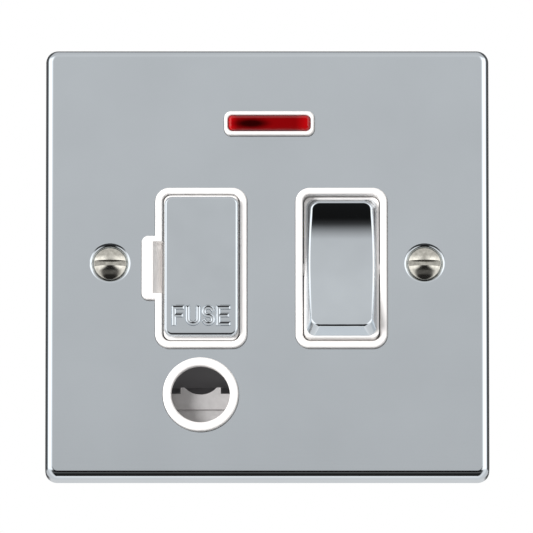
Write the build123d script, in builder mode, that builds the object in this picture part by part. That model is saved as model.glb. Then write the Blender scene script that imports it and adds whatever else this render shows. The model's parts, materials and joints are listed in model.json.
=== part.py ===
from build123d import *
import os
from math import cos, radians, sin

# Switched fused spur unit: polished face plate, neon, pull-out fuse, rocker switch and flex outlet.
# Millimetres. X points right and Z up as seen from the room, and -Y points to the room.
# The origin is the plate's centre on the wall plane. Heights are measured off the wall, so y = -height.

os.makedirs("parts", exist_ok=True)

# Clearances
slip = 0.1  # plate round the bezels, lens in its bezel, screws in plain holes
run = 0.05  # radial, pins and screws in their bores
slide = 0.2  # rocker and drawer in their openings
apart = 0.3  # between neighbouring mouldings

# Face plate
plate_size = 85.0
plate_depth = 4.0
plate_corner = 2.3
plate_sheet = 1.0
plate_roll = 1.45

# Fixing screws and the dimples they sit in
screw_pitch = 60.3
screw_radius = 1.75
screw_neck = 1.5
screw_reach = 22.0
screw_chamfer = 0.5
screw_bare = 1.5
head_radius = 3.2
head_land = 0.2
head_dome = 0.9
slot_width = 1.1
slot_depth = 0.8
dimple_radius = 3.7
dimple_round = 0.6
dimple_hole = 2.05
dimple_back = 1.3

# Front moulding
bezel_proud = 1.0
bezel_round = 0.35
flange_thick = 2.0
well_wall = 1.2
row_z = -1.05
bezel_corner = 2.75
open_width = 14.75
open_height = 29.1
open_corner = 1.45
bezel_side = 1.425
bezel_end = 1.3

# Body outline, waisted to pass the lugs of a wall box
body_corner = 2.5
waist_height = 20.0
housing_depth = 23.0
housing_wall = 1.6
housing_floor = 2.0
housing_round = 1.2
partition = 1.4

# Neon
neon_x = 0.4
neon_gap = 10.5
neon_width = 17.3
neon_height = 4.75
neon_corner = 1.3
lens_width = 15.66
lens_height = 2.95
lens_corner = 0.8
lens_round = 0.6
lens_proud = 0.25
lens_lip = 0.55
lens_lip_thick = 1.4
lamp_radius = 2.0
lamp_length = 11.0
lamp_behind = 2.2
rib_spread = 7.0
rib_thick = 1.2
rib_height = 6.4
rib_gap = 0.4
rib_depth = 4.4
resistor_radius = 1.1
resistor_length = 6.4
resistor_gap = 3.5
lead_radius = 0.3
lead_bend = 1.5

# Fuse drawer
fuse_x = -12.68
notch_width = 2.6
notch_height = 12.6
notch_corner = 1.3
ramp_width = 1.9
ramp_height = 10.3
ramp_depth = 2.4
fuse_well = 12.0
drawer_front = 4.6
drawer_thick = 2.0
drawer_wall = 1.4
drawer_side = 22.0
drawer_tail = 15.4
drawer_travel = 14.0
stop_rib = 0.5
stop_height = 4.0
stop_thick = 1.0
stop_z = 8.8
pry_depth = 1.0
pry_height = 8.0
pry_slot = 1.0
fuse_cap_side = 0.32
fuse_cap_end = 0.75
fuse_cap_thick = 1.5
fuse_cap_corner = 1.5
fuse_cap_round = 0.5

# Fuse cartridge and clips
fuse_radius = 3.175
fuse_length = 25.4
fuse_behind = 6.1
fuse_cap_skin = 0.175
fuse_cap_long = 6.0
cradle_width = 8.8
cradle_height = 9.0
cradle_depth = 6.8
cradle_throat = 5.0
clip_sheet = 0.6
clip_width = 5.0
clip_play = 0.075
clip_spread = 19.2
clip_arm = 6.4
strap_sheet = 0.8
link_rise = 14.0
link_width = 3.2

# Rocker
switch_x = 14.23
rocker_lean = 5.0
pivot_height = 3.0
pivot_radius = 1.2
pivot_length = 0.8
switch_well = 5.0
rim_height = 1.4
rocker_skirt = 2.2
rocker_web = 1.6
rocker_wall = 1.4
cap_side = 0.63
cap_end = 0.6
cap_corner = 1.7
cap_height = 3.8
cap_side_slope = 1.0
cap_end_slope = 1.3
cap_dish = 1.35
cap_edge = 0.5
pole_pitch = 7.0
post_radius = 2.4
post_length = 6.0
plunger_radius = 1.5
plunger_reach = 8.8
plunger_tail = 4.6
spring_radius = 1.05
spring_wire = 0.4
spring_turns = 4.0

# Blades and contacts
blade_lean = 8.0
blade_gap = 0.1
blade_stand = 1.2
blade_thick = 1.0
blade_width = 4.2
blade_up = 10.2
blade_down = 8.0
knife_radius = 0.5
tip_at = 8.6
tip_radius = 1.4
tip_thick = 0.7
contact_air = 0.05
pad_thick = 0.8

# Terminals
block_width = 7.0
block_height = 7.0
block_front = -10.5
wire_height = -13.6
wire_radius = 2.1
port_radius = 2.5
clamp_radius = 1.7
clamp_tip = 0.3
clamp_head = 2.5
clamp_head_thick = 1.7
clamp_slot = 0.8
supply_z = -24.0
supply_live_x = 8.2
supply_neutral_x = 16.8
load_z = 20.0
load_live_x = -17.6
load_neutral_x = 17.7
earth_left_x = -7.0
earth_right_x = 1.5

# Plate bosses and assembly screws
column_inset = 4.6
column_radius = 3.2
boss_radius = 2.5
boss_length = 1.8
bolt_radius = 1.5
bolt_head = 2.7
bolt_head_thick = 1.9
bolt_sink = 2.4
bolt_slot = 0.8

# Earth strap
strap_width = 6.0
strap_top = 3.8
lug_rim = 1.2

# Flex outlet and cord grip
flex_x = -12.75
ring_gap = 1.93
ring_radius = 7.27
ring_edge = 1.43
flex_radius = 5.6
flex_lip = 1.1
flare_radius = 6.5
chamber_right = 1.2
mouth_edge = 2.4
seat_radius = 4.1
seat_rise = 0.95
shoulder_rise = 1.1
horn_rise = 2.35
horn_spread = 7.7
saddle_drop = 4.7
saddle_width = 27.0
saddle_side = 0.65
saddle_depth = 6.2
saddle_sink_drop = 2.0
saddle_sink = 0.5
saddle_clear = 0.4
grip_spread = 21.8
grip_radius = 1.5
grip_head = 2.6
grip_head_thick = 1.8
grip_shank = 15.8
grip_post = 2.0
grip_travel = 3.2

# Heights off the wall that several pieces share
bezel_front = plate_depth + bezel_proud
flange_front = plate_depth - plate_sheet
flange_back = flange_front - flange_thick
housing_back = flange_back - housing_depth
floor = housing_back + housing_floor
strap_front = floor + strap_sheet
well_back = flange_back - fuse_well
fuse_height = drawer_front - fuse_behind
tail_end = drawer_front - drawer_tail
lamp_height = flange_back - lamp_behind
hinge_height = pivot_height - plunger_reach - plunger_radius - blade_gap - blade_stand

# Bezels, caps and body outline, worked out from the openings and what the body holds
bezel_width = open_width + 2 * bezel_side
bezel_height = open_height + 2 * bezel_end
fuse_cap_width = open_width - 2 * fuse_cap_side
fuse_cap_height = open_height - 2 * fuse_cap_end
cap_width = open_width - 2 * cap_side
cap_length = open_height - 2 * cap_end
neon_z = row_z + bezel_height / 2 + neon_gap + neon_height / 2
flex_z = row_z - bezel_height / 2 - ring_gap - ring_radius
body_top = neon_z + rib_height / 2 + rib_gap + housing_wall
body_bottom = ring_radius + ring_edge - flex_z
body_width = 2 * (saddle_width / 2 + saddle_side + housing_wall - flex_x)
waist_width = 2 * (switch_x + open_width / 2 + well_wall + apart + housing_wall)

# Places that several pieces share
screw_x = screw_pitch / 2
lug_hole = dimple_radius + plate_sheet / 2 + slip
lug_radius = lug_hole + lug_rim
column_x = body_width / 2 - column_inset
column_top = body_top - column_inset
column_low = column_inset - body_bottom
roof_top = row_z - open_height / 2 - well_wall - apart
roof_low = roof_top - partition
column_spots = [(-column_x, column_top), (column_x, column_top), (column_x, column_low)]
clamp_spots = [
    (supply_live_x, supply_z),
    (supply_neutral_x, supply_z),
    (load_live_x, load_z),
    (load_neutral_x, load_z),
    (earth_left_x, load_z),
    (earth_right_x, load_z),
]
live_x = switch_x - pole_pitch / 2
neutral_x = switch_x + pole_pitch / 2
upper_clip_z = row_z + clip_spread / 2
lower_clip_z = row_z - clip_spread / 2
link_z = row_z + link_rise
clip_floor = fuse_height - fuse_radius - apart
tip_low = tip_thick + blade_thick - blade_stand
pad_z = row_z + tip_at * cos(radians(blade_lean)) - tip_low * sin(radians(blade_lean))
pad_drop = tip_low * cos(radians(blade_lean)) + (tip_at + tip_radius) * sin(radians(blade_lean))
pad_front = hinge_height - pad_drop - contact_air
leg_z = row_z + blade_up + strap_sheet
feet_end = supply_z + block_height / 2 - strap_sheet
grip_left = flex_x - grip_spread / 2
grip_right = flex_x + grip_spread / 2
saddle_front = flange_back - saddle_clear
grip_height = saddle_front - saddle_depth / 2
saddle_bottom = flex_z - saddle_drop
grip_end = saddle_bottom + grip_shank


def front(height):
    """Plane parallel to the wall, facing the room, at a height off the wall."""
    return Plane.XZ.offset(height)


def leaning(x, height, lean):
    """Plane facing the room on the row of wells, its top leaning back by an angle in degrees."""
    return Plane((x, -height, row_z), x_dir=(1, 0, 0), z_dir=(0, -cos(radians(lean)), sin(radians(lean))))


def side_of(plane):
    """Plane across another one: its x runs up that plane and its y runs out of it."""
    return Plane(plane.origin, x_dir=plane.y_dir, z_dir=plane.x_dir)


def body_outline():
    """Outline that the moulding's flange and the housing share."""
    with Locations((0, (body_top - body_bottom) / 2)):
        RectangleRounded(body_width, body_top + body_bottom, body_corner)
    with GridLocations(body_width + waist_width, 0, 2, 1):
        Rectangle(body_width, waist_height, mode=Mode.SUBTRACT)


def neon_outline(grow):
    """Outline of the neon bezel, grown all round."""
    with Locations((neon_x, neon_z)):
        RectangleRounded(neon_width + 2 * grow, neon_height + 2 * grow, neon_corner + grow)


def fuse_outline(grow):
    """Outline of the fuse bezel with its side notch, grown all round."""
    with Locations((fuse_x, row_z)):
        RectangleRounded(bezel_width + 2 * grow, bezel_height + 2 * grow, bezel_corner + grow)
    with Locations((fuse_x - bezel_width / 2, row_z)):
        RectangleRounded(2 * notch_width + 2 * grow, notch_height + 2 * grow, notch_corner + grow)


def switch_outline(grow):
    """Outline of the switch bezel, grown all round."""
    with Locations((switch_x, row_z)):
        RectangleRounded(bezel_width + 2 * grow, bezel_height + 2 * grow, bezel_corner + grow)


def flex_outline(grow):
    """Outline of the outlet ring, grown all round."""
    with Locations((flex_x, flex_z)):
        Circle(ring_radius + grow)


def clip_section():
    """Section of a fuse clip across the fuse: a U open to the room, on a leg to the housing's floor."""
    arm_gap = 2 * fuse_radius + 2 * clip_play
    with Locations((fuse_x, -clip_floor + clip_sheet / 2 - clip_arm / 2)):
        Rectangle(arm_gap + 2 * clip_sheet, clip_arm + clip_sheet)
    with Locations((fuse_x, -clip_floor - clip_arm / 2)):
        Rectangle(arm_gap, clip_arm, mode=Mode.SUBTRACT)
    with Locations((fuse_x, -(clip_floor - clip_sheet / 2 + floor) / 2)):
        Rectangle(2 * clip_sheet, clip_floor - clip_sheet / 2 - floor)


def contact_leg():
    """Side section of a fixed contact: a leg on the housing's floor and the ledge under its pad."""
    ledge = pad_front - pad_thick
    with Locations((-(ledge + floor) / 2, leg_z + strap_sheet / 2)):
        Rectangle(ledge - floor, strap_sheet)
    with Locations((-ledge + strap_sheet / 2, (leg_z + strap_sheet + pad_z - tip_radius) / 2)):
        Rectangle(strap_sheet, leg_z + strap_sheet - pad_z + tip_radius)


def knife_section():
    """Side section of a fulcrum: a plate from the housing's floor with a rounded edge."""
    with Locations((-hinge_height, row_z)):
        Circle(knife_radius)
    with Locations((-(hinge_height + floor) / 2, row_z)):
        Rectangle(hinge_height - floor, 2 * knife_radius)


def blade_section():
    """Side section of a see-saw blade, with the half hub that rides on the fulcrum."""
    Circle(blade_stand)
    with Locations((0, -blade_stand)):
        Rectangle(4 * blade_stand, 2 * blade_stand, mode=Mode.SUBTRACT)
    with Locations(((blade_up - blade_down) / 2, blade_stand - blade_thick / 2)):
        Rectangle(blade_up + blade_down, blade_thick)
    Circle(knife_radius + run, mode=Mode.SUBTRACT)


rocker_plane = leaning(switch_x, pivot_height, rocker_lean)
live_rocker_plane = leaning(live_x, pivot_height, rocker_lean)
neutral_rocker_plane = leaning(neutral_x, pivot_height, rocker_lean)
live_blade_plane = leaning(live_x, hinge_height, -blade_lean)
neutral_blade_plane = leaning(neutral_x, hinge_height, -blade_lean)

# Face plate: a pressed tray with rolled edges, dimples for the fixing screws and four windows
with BuildPart() as face_plate:
    with BuildSketch(front(0)):
        RectangleRounded(plate_size, plate_size, plate_corner)
    extrude(amount=plate_depth)
    fillet(face_plate.faces().sort_by(Axis.Y)[0].edges(), plate_roll)
    with BuildSketch(front(0)):
        tray_size = plate_size - 2 * plate_sheet
        RectangleRounded(tray_size, tray_size, plate_corner - plate_sheet)
    extrude(amount=flange_front, mode=Mode.SUBTRACT)
    with BuildSketch(front(flange_front)):
        with GridLocations(screw_pitch, 0, 2, 1):
            Circle(dimple_radius + plate_sheet / 2)
    extrude(amount=-dimple_back, taper=45)
    with Locations(front(plate_depth)):
        with GridLocations(screw_pitch, 0, 2, 1):
            CounterSinkHole(dimple_hole, dimple_radius, counter_sink_angle=90)
    fillet(face_plate.faces().sort_by(Axis.Y)[0].inner_wires().edges(), dimple_round)
    with BuildSketch(front(0)):
        neon_outline(slip)
        fuse_outline(slip)
        switch_outline(slip)
        flex_outline(slip)
    extrude(amount=plate_depth, mode=Mode.SUBTRACT)
face_plate.part.label = "face_plate"
export_step(face_plate.part, "parts/face_plate.step")

# Fixing screws: raised countersunk heads with a thin land and a level slot, a neck, a plain thread cylinder
head_rim = plate_depth - (dimple_radius - head_radius) + run
head_top = head_rim + head_land + head_dome
neck_top = head_rim - (head_radius - screw_neck)
with BuildPart() as fixing_screws:
    with BuildSketch(Plane.XY):
        with BuildLine():
            Polyline(
                (screw_x, -head_top),
                (screw_x, screw_reach),
                (screw_x + screw_radius - screw_chamfer, screw_reach),
                (screw_x + screw_radius, screw_reach - screw_chamfer),
                (screw_x + screw_radius, -flange_back + screw_bare),
                (screw_x + screw_neck, -flange_back + screw_bare),
                (screw_x + screw_neck, -neck_top),
                (screw_x + head_radius, -head_rim),
                (screw_x + head_radius, -head_rim - head_land),
            )
            TangentArc(
                (screw_x, -head_top),
                (screw_x + head_radius, -head_rim - head_land),
                tangent=(1, 0),
            )
        make_face()
    revolve(axis=Axis((screw_x, 0, 0), (0, 1, 0)))
    with BuildSketch(front(head_top)):
        with Locations((screw_x, 0)):
            Rectangle(4 * head_radius, slot_width)
    extrude(amount=-slot_depth, mode=Mode.SUBTRACT)
    mirror(about=Plane.YZ)
fixing_screws.part.label = "fixing_screws"
export_step(fixing_screws.part, "parts/fixing_screws.step")

# Front moulding: flange behind the plate, bezels through it, wells behind
with BuildPart() as front_moulding:
    with BuildSketch(front(flange_back)):
        body_outline()
        with Locations(*column_spots):
            Circle(boss_radius + slip, mode=Mode.SUBTRACT)
        with Locations((screw_x, 0)):
            Circle(lug_radius + apart, mode=Mode.SUBTRACT)
    extrude(amount=flange_thick)
    with BuildSketch(front(flange_front)):
        neon_outline(0)
        fuse_outline(0)
        switch_outline(0)
        flex_outline(0)
    extrude(amount=bezel_front - flange_front)
    with BuildSketch(front(flange_back)):
        with Locations((fuse_x, row_z)):
            Rectangle(open_width + 2 * well_wall, open_height + 2 * well_wall)
    extrude(amount=-fuse_well)
    with BuildSketch(front(flange_back)):
        with Locations((switch_x, row_z)):
            Rectangle(open_width + 2 * well_wall, open_height + 2 * well_wall)
    extrude(amount=-switch_well)
    with BuildSketch(front(bezel_front)):
        with Locations((fuse_x, row_z), (switch_x, row_z)):
            RectangleRounded(open_width, open_height, open_corner)
        with Locations((neon_x, neon_z)):
            RectangleRounded(lens_width + 2 * slip, lens_height + 2 * slip, lens_corner + slip)
        with Locations((flex_x, flex_z)):
            Circle(flex_radius)
    extrude(amount=well_back - bezel_front, mode=Mode.SUBTRACT)
    fillet(front_moulding.faces().group_by(Axis.Y)[0].edges(), bezel_round)
    # Flare behind the outlet's lip
    with Locations(front(flange_back)):
        with Locations((flex_x, flex_z)):
            Cone(
                flare_radius,
                flex_radius,
                bezel_front - flex_lip - flange_back,
                align=(Align.CENTER, Align.CENTER, Align.MIN),
                mode=Mode.SUBTRACT,
            )
    # Ramp beside the fuse for a screwdriver
    with BuildSketch(Plane.XY.offset(row_z)):
        with BuildLine():
            ramp_end = fuse_x - open_width / 2
            Polyline(
                (ramp_end - ramp_width, -bezel_front),
                (ramp_end - ramp_width, -bezel_front - ramp_depth),
                (ramp_end + ramp_width, -bezel_front - ramp_depth),
                (ramp_end + ramp_width, -bezel_front + ramp_depth),
                (ramp_end, -bezel_front + ramp_depth),
                close=True,
            )
        make_face()
    extrude(amount=ramp_height / 2, both=True, mode=Mode.SUBTRACT)
    # Grooves that the drawer's stop ribs run in
    with BuildSketch(front(well_back)):
        with Locations((fuse_x, row_z + stop_z)):
            Rectangle(open_width + 2 * stop_rib, stop_height + 2 * slide)
    extrude(amount=tail_end + stop_thick + drawer_travel + slip - well_back, mode=Mode.SUBTRACT)
    # Pockets for the rocker's pivot pins
    with BuildSketch(Plane.YZ.offset(switch_x)):
        with Locations((-pivot_height, row_z)):
            Circle(pivot_radius + run)
    extrude(amount=open_width / 2 + pivot_length, both=True, mode=Mode.SUBTRACT)
    # Ribs each side of the lamp, then the rebate for the lens lip
    with BuildSketch(front(flange_back)):
        with Locations((neon_x - rib_spread / 2, neon_z), (neon_x + rib_spread / 2, neon_z)):
            Rectangle(rib_thick, rib_height)
    extrude(amount=-rib_depth)
    with BuildSketch(front(flange_back - rib_depth)):
        with Locations((neon_x, neon_z)):
            Rectangle(lens_width + 2 * lens_lip + 2 * slip, lens_height + 2 * lens_lip + 2 * slip)
    extrude(amount=rib_depth + lens_lip_thick, mode=Mode.SUBTRACT)
front_moulding.part.label = "front_moulding"
export_step(front_moulding.part, "parts/front_moulding.step")

# Rear housing: waisted tub with the flex chamber, screw columns, ports and barriers between terminals
with BuildPart() as rear_housing:
    with BuildSketch(front(housing_back)):
        body_outline()
    extrude(amount=housing_depth)
    fillet(rear_housing.faces().sort_by(Axis.Y)[-1].edges(), housing_round)
    with BuildSketch(front(floor)):
        body_outline()
        offset(amount=-housing_wall)
    extrude(amount=flange_back - floor, mode=Mode.SUBTRACT)
    with BuildSketch(front(floor)):
        chamber_left = -body_width / 2 + housing_wall / 2
        with Locations(((chamber_left + chamber_right + partition) / 2, (roof_top + roof_low) / 2)):
            Rectangle(chamber_right + partition - chamber_left, partition)
        with Locations((chamber_right + partition / 2, (roof_top - body_bottom + housing_wall / 2) / 2)):
            Rectangle(partition, roof_top + body_bottom - housing_wall / 2)
        with Locations(*column_spots):
            Circle(column_radius)
    extrude(amount=flange_back - floor)
    # Barriers between neighbouring terminals
    with BuildSketch(front(floor)):
        barrier_top = feet_end - apart
        barrier_low = body_bottom - housing_wall / 2
        for barrier_x in [
            (load_live_x + earth_left_x) / 2,
            (earth_right_x + load_neutral_x) / 2,
        ]:
            with Locations((barrier_x, (load_z - block_height / 2 + body_top - housing_wall / 2) / 2)):
                Rectangle(partition, body_top - housing_wall / 2 - load_z + block_height / 2)
        with Locations(((supply_live_x + supply_neutral_x) / 2, (barrier_top - barrier_low) / 2)):
            Rectangle(partition / 2, barrier_top + barrier_low)
    extrude(amount=block_front - floor)
    # Posts for the cord grip's screws
    with BuildSketch(Plane.XY.offset(roof_top - partition / 2)):
        with Locations((grip_left, -grip_height), (grip_right, -grip_height)):
            Circle(grip_post)
    extrude(amount=-waist_height / 2 - apart - roof_top + partition / 2)
    with BuildSketch(Plane.XY.offset(roof_low)):
        with Locations((grip_left, -grip_height), (grip_right, -grip_height)):
            Circle(grip_radius + run)
    extrude(amount=grip_end + grip_travel + apart - roof_low, mode=Mode.SUBTRACT)
    # Assembly screw holes, sunk from the back
    with BuildSketch(front(housing_back)):
        with Locations(*column_spots):
            Circle(bolt_radius + slip)
    extrude(amount=housing_depth, mode=Mode.SUBTRACT)
    with BuildSketch(front(housing_back)):
        with Locations(*column_spots):
            Circle(bolt_head + slide)
    extrude(amount=bolt_sink, mode=Mode.SUBTRACT)
    # Access to the terminal screws and ports for the wires
    with BuildSketch(front(housing_back)):
        with Locations(*clamp_spots):
            Circle(clamp_head + slide)
    extrude(amount=housing_floor, mode=Mode.SUBTRACT)
    with BuildSketch(Plane.XY.offset(body_top)):
        with Locations(*[(x, -wire_height) for x, z in clamp_spots if z == load_z]):
            Circle(port_radius)
    extrude(amount=-2 * housing_wall, mode=Mode.SUBTRACT)
    with BuildSketch(Plane.XY.offset(-body_bottom)):
        with Locations(*[(x, -wire_height) for x, z in clamp_spots if z == supply_z]):
            Circle(port_radius)
    extrude(amount=2 * housing_wall, mode=Mode.SUBTRACT)
    # Mouth of the flex chamber and the slot for the earth strap
    with BuildSketch(Plane.XY.offset(-body_bottom)):
        mouth_left = -body_width / 2 + mouth_edge
        with Locations(((mouth_left + chamber_right) / 2, -(flange_back + floor) / 2)):
            Rectangle(chamber_right - mouth_left, flange_back - floor)
    extrude(amount=housing_wall, mode=Mode.SUBTRACT)
    with BuildSketch(Plane.XY.offset(body_top)):
        with Locations((earth_left_x, -(flange_back + block_front - slide) / 2)):
            Rectangle(strap_width + 2 * slide, flange_back - block_front + slide)
    extrude(amount=-housing_wall, mode=Mode.SUBTRACT)
rear_housing.part.label = "rear_housing"
export_step(rear_housing.part, "parts/rear_housing.step")

# Plate bosses: brass bushes on the plate's back that take the assembly screws
with BuildPart() as plate_bosses:
    with BuildSketch(front(flange_front)):
        with Locations(*column_spots):
            Circle(boss_radius)
        with Locations(*column_spots):
            Circle(bolt_radius + run, mode=Mode.SUBTRACT)
    extrude(amount=-boss_length)
plate_bosses.part.label = "plate_bosses"
export_step(plate_bosses.part, "parts/plate_bosses.step")

# Assembly screws: from the back through the housing's columns into the plate bosses
bolt_seat = housing_back + bolt_sink
with BuildPart() as assembly_screws:
    with BuildSketch(front(bolt_seat)):
        with Locations(*column_spots):
            Circle(bolt_radius)
    extrude(amount=flange_front - slide - bolt_seat)
    with BuildSketch(front(bolt_seat)):
        with Locations(*column_spots):
            Circle(bolt_head)
    extrude(amount=-bolt_head_thick)
    fillet(assembly_screws.faces().group_by(Axis.Y)[-1].edges(), bolt_head_thick / 3)
    with BuildSketch(front(bolt_seat - bolt_head_thick)):
        with Locations(*column_spots):
            Rectangle(4 * bolt_head, bolt_slot)
    extrude(amount=bolt_head_thick / 2, mode=Mode.SUBTRACT)
assembly_screws.part.label = "assembly_screws"
export_step(assembly_screws.part, "parts/assembly_screws.step")

# Earth strap: flat on the plate's back from the right fixing screw, then back into the housing
tab_low = body_top + 2 * slide
strap_x = (body_width + strap_width + apart) / 2
strap_left = earth_left_x - strap_width / 2
with BuildPart() as earth_strap:
    with BuildSketch(front(flange_front)):
        with Locations((screw_x, 0)):
            Circle(lug_radius)
        with Locations((strap_x, (tab_low + strap_top) / 2)):
            Rectangle(strap_width, tab_low + strap_top)
        with Locations(((strap_left + strap_x) / 2, tab_low + strap_top / 2)):
            Rectangle(strap_x - strap_left, strap_top)
        with Locations((screw_x, 0)):
            Circle(lug_hole, mode=Mode.SUBTRACT)
    extrude(amount=-strap_sheet)
    with BuildSketch(Plane.XY.offset(tab_low)):
        with Locations((earth_left_x, -(flange_front + block_front) / 2)):
            Rectangle(strap_width, flange_front - block_front)
    extrude(amount=strap_sheet)
    with BuildSketch(front(block_front)):
        with Locations((earth_left_x, (load_z + tab_low + strap_sheet) / 2)):
            Rectangle(strap_width, tab_low + strap_sheet - load_z)
    extrude(amount=strap_sheet)
earth_strap.part.label = "earth_strap"
export_step(earth_strap.part, "parts/earth_strap.step")

# Supply live terminal
with BuildPart() as supply_live_terminal:
    with BuildSketch(front(strap_front)):
        with Locations((supply_live_x, supply_z)):
            Rectangle(block_width, block_height)
    extrude(amount=block_front - strap_front)
    with BuildSketch(Plane.XY.offset(supply_z)):
        with Locations((supply_live_x, -wire_height)):
            Circle(wire_radius)
    extrude(amount=block_height, both=True, mode=Mode.SUBTRACT)
    with BuildSketch(front(strap_front)):
        with Locations((supply_live_x, supply_z)):
            Circle(clamp_radius + run)
    extrude(amount=wire_height - strap_front, mode=Mode.SUBTRACT)
supply_live_terminal.part.label = "supply_live_terminal"
export_step(supply_live_terminal.part, "parts/supply_live_terminal.step")

# Supply neutral terminal
with BuildPart() as supply_neutral_terminal:
    with BuildSketch(front(strap_front)):
        with Locations((supply_neutral_x, supply_z)):
            Rectangle(block_width, block_height)
    extrude(amount=block_front - strap_front)
    with BuildSketch(Plane.XY.offset(supply_z)):
        with Locations((supply_neutral_x, -wire_height)):
            Circle(wire_radius)
    extrude(amount=block_height, both=True, mode=Mode.SUBTRACT)
    with BuildSketch(front(strap_front)):
        with Locations((supply_neutral_x, supply_z)):
            Circle(clamp_radius + run)
    extrude(amount=wire_height - strap_front, mode=Mode.SUBTRACT)
supply_neutral_terminal.part.label = "supply_neutral_terminal"
export_step(supply_neutral_terminal.part, "parts/supply_neutral_terminal.step")

# Load live terminal
with BuildPart() as load_live_terminal:
    with BuildSketch(front(strap_front)):
        with Locations((load_live_x, load_z)):
            Rectangle(block_width, block_height)
    extrude(amount=block_front - strap_front)
    with BuildSketch(Plane.XY.offset(load_z)):
        with Locations((load_live_x, -wire_height)):
            Circle(wire_radius)
    extrude(amount=block_height, both=True, mode=Mode.SUBTRACT)
    with BuildSketch(front(strap_front)):
        with Locations((load_live_x, load_z)):
            Circle(clamp_radius + run)
    extrude(amount=wire_height - strap_front, mode=Mode.SUBTRACT)
load_live_terminal.part.label = "load_live_terminal"
export_step(load_live_terminal.part, "parts/load_live_terminal.step")

# Load neutral terminal
with BuildPart() as load_neutral_terminal:
    with BuildSketch(front(strap_front)):
        with Locations((load_neutral_x, load_z)):
            Rectangle(block_width, block_height)
    extrude(amount=block_front - strap_front)
    with BuildSketch(Plane.XY.offset(load_z)):
        with Locations((load_neutral_x, -wire_height)):
            Circle(wire_radius)
    extrude(amount=block_height, both=True, mode=Mode.SUBTRACT)
    with BuildSketch(front(strap_front)):
        with Locations((load_neutral_x, load_z)):
            Circle(clamp_radius + run)
    extrude(amount=wire_height - strap_front, mode=Mode.SUBTRACT)
load_neutral_terminal.part.label = "load_neutral_terminal"
export_step(load_neutral_terminal.part, "parts/load_neutral_terminal.step")

# Earth terminal: one block with two ways
with BuildPart() as earth_terminal:
    with BuildSketch(front(floor)):
        with Locations(((earth_left_x + earth_right_x) / 2, load_z)):
            Rectangle(earth_right_x - earth_left_x + block_width, block_height)
    extrude(amount=block_front - floor)
    with BuildSketch(Plane.XY.offset(load_z)):
        with Locations((earth_left_x, -wire_height), (earth_right_x, -wire_height)):
            Circle(wire_radius)
    extrude(amount=block_height, both=True, mode=Mode.SUBTRACT)
    with BuildSketch(front(floor)):
        with Locations((earth_left_x, load_z), (earth_right_x, load_z)):
            Circle(clamp_radius + run)
    extrude(amount=wire_height - floor, mode=Mode.SUBTRACT)
earth_terminal.part.label = "earth_terminal"
export_step(earth_terminal.part, "parts/earth_terminal.step")

# Terminal screws: heads in the access holes, tips backed off clear of the wire bores
with BuildPart() as terminal_screws:
    with BuildSketch(front(floor)):
        with Locations(*clamp_spots):
            Circle(clamp_radius)
    extrude(amount=wire_height - wire_radius - clamp_tip - floor)
    with BuildSketch(front(floor)):
        with Locations(*clamp_spots):
            Circle(clamp_head)
    extrude(amount=-clamp_head_thick)
    with BuildSketch(front(floor - clamp_head_thick)):
        with Locations(*clamp_spots):
            Rectangle(2 * clamp_head + slip, clamp_slot)
    extrude(amount=clamp_head_thick / 2, mode=Mode.SUBTRACT)
terminal_screws.part.label = "terminal_screws"
export_step(terminal_screws.part, "parts/terminal_screws.step")

# Neon lens: red prism pushed in from behind, stopped by its lip
with BuildPart() as neon_lens:
    with BuildSketch(front(flange_back)):
        with Locations((neon_x, neon_z)):
            RectangleRounded(lens_width, lens_height, lens_corner)
    extrude(amount=bezel_front + lens_proud - flange_back)
    fillet(neon_lens.faces().sort_by(Axis.Y)[0].edges(), lens_round)
    with BuildSketch(front(flange_back)):
        with Locations((neon_x, neon_z)):
            Rectangle(lens_width + 2 * lens_lip, lens_height + 2 * lens_lip)
    extrude(amount=lens_lip_thick)
neon_lens.part.label = "neon_lens"
export_step(neon_lens.part, "parts/neon_lens.step")

# Neon lamp: glass tube with rounded ends, lying behind the lens
with BuildPart() as neon_lamp:
    with BuildSketch(Plane.YZ.offset(neon_x)):
        with Locations((-lamp_height, neon_z)):
            Circle(lamp_radius)
    extrude(amount=lamp_length / 2, both=True)
    fillet(neon_lamp.edges().filter_by(GeomType.CIRCLE), lamp_radius * 0.6)
neon_lamp.part.label = "neon_lamp"
export_step(neon_lamp.part, "parts/neon_lamp.step")

# Neon resistor: in the left lead of the lamp
resistor_right = neon_x - lamp_length / 2 - resistor_gap
resistor_left = resistor_right - resistor_length
with BuildPart() as neon_resistor:
    with BuildSketch(Plane.YZ.offset(resistor_left)):
        with Locations((-lamp_height, neon_z)):
            Circle(resistor_radius)
    extrude(amount=resistor_length)
    fillet(neon_resistor.edges().filter_by(GeomType.CIRCLE), resistor_radius * 0.5)
neon_resistor.part.label = "neon_resistor"
export_step(neon_resistor.part, "parts/neon_resistor.step")

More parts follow.
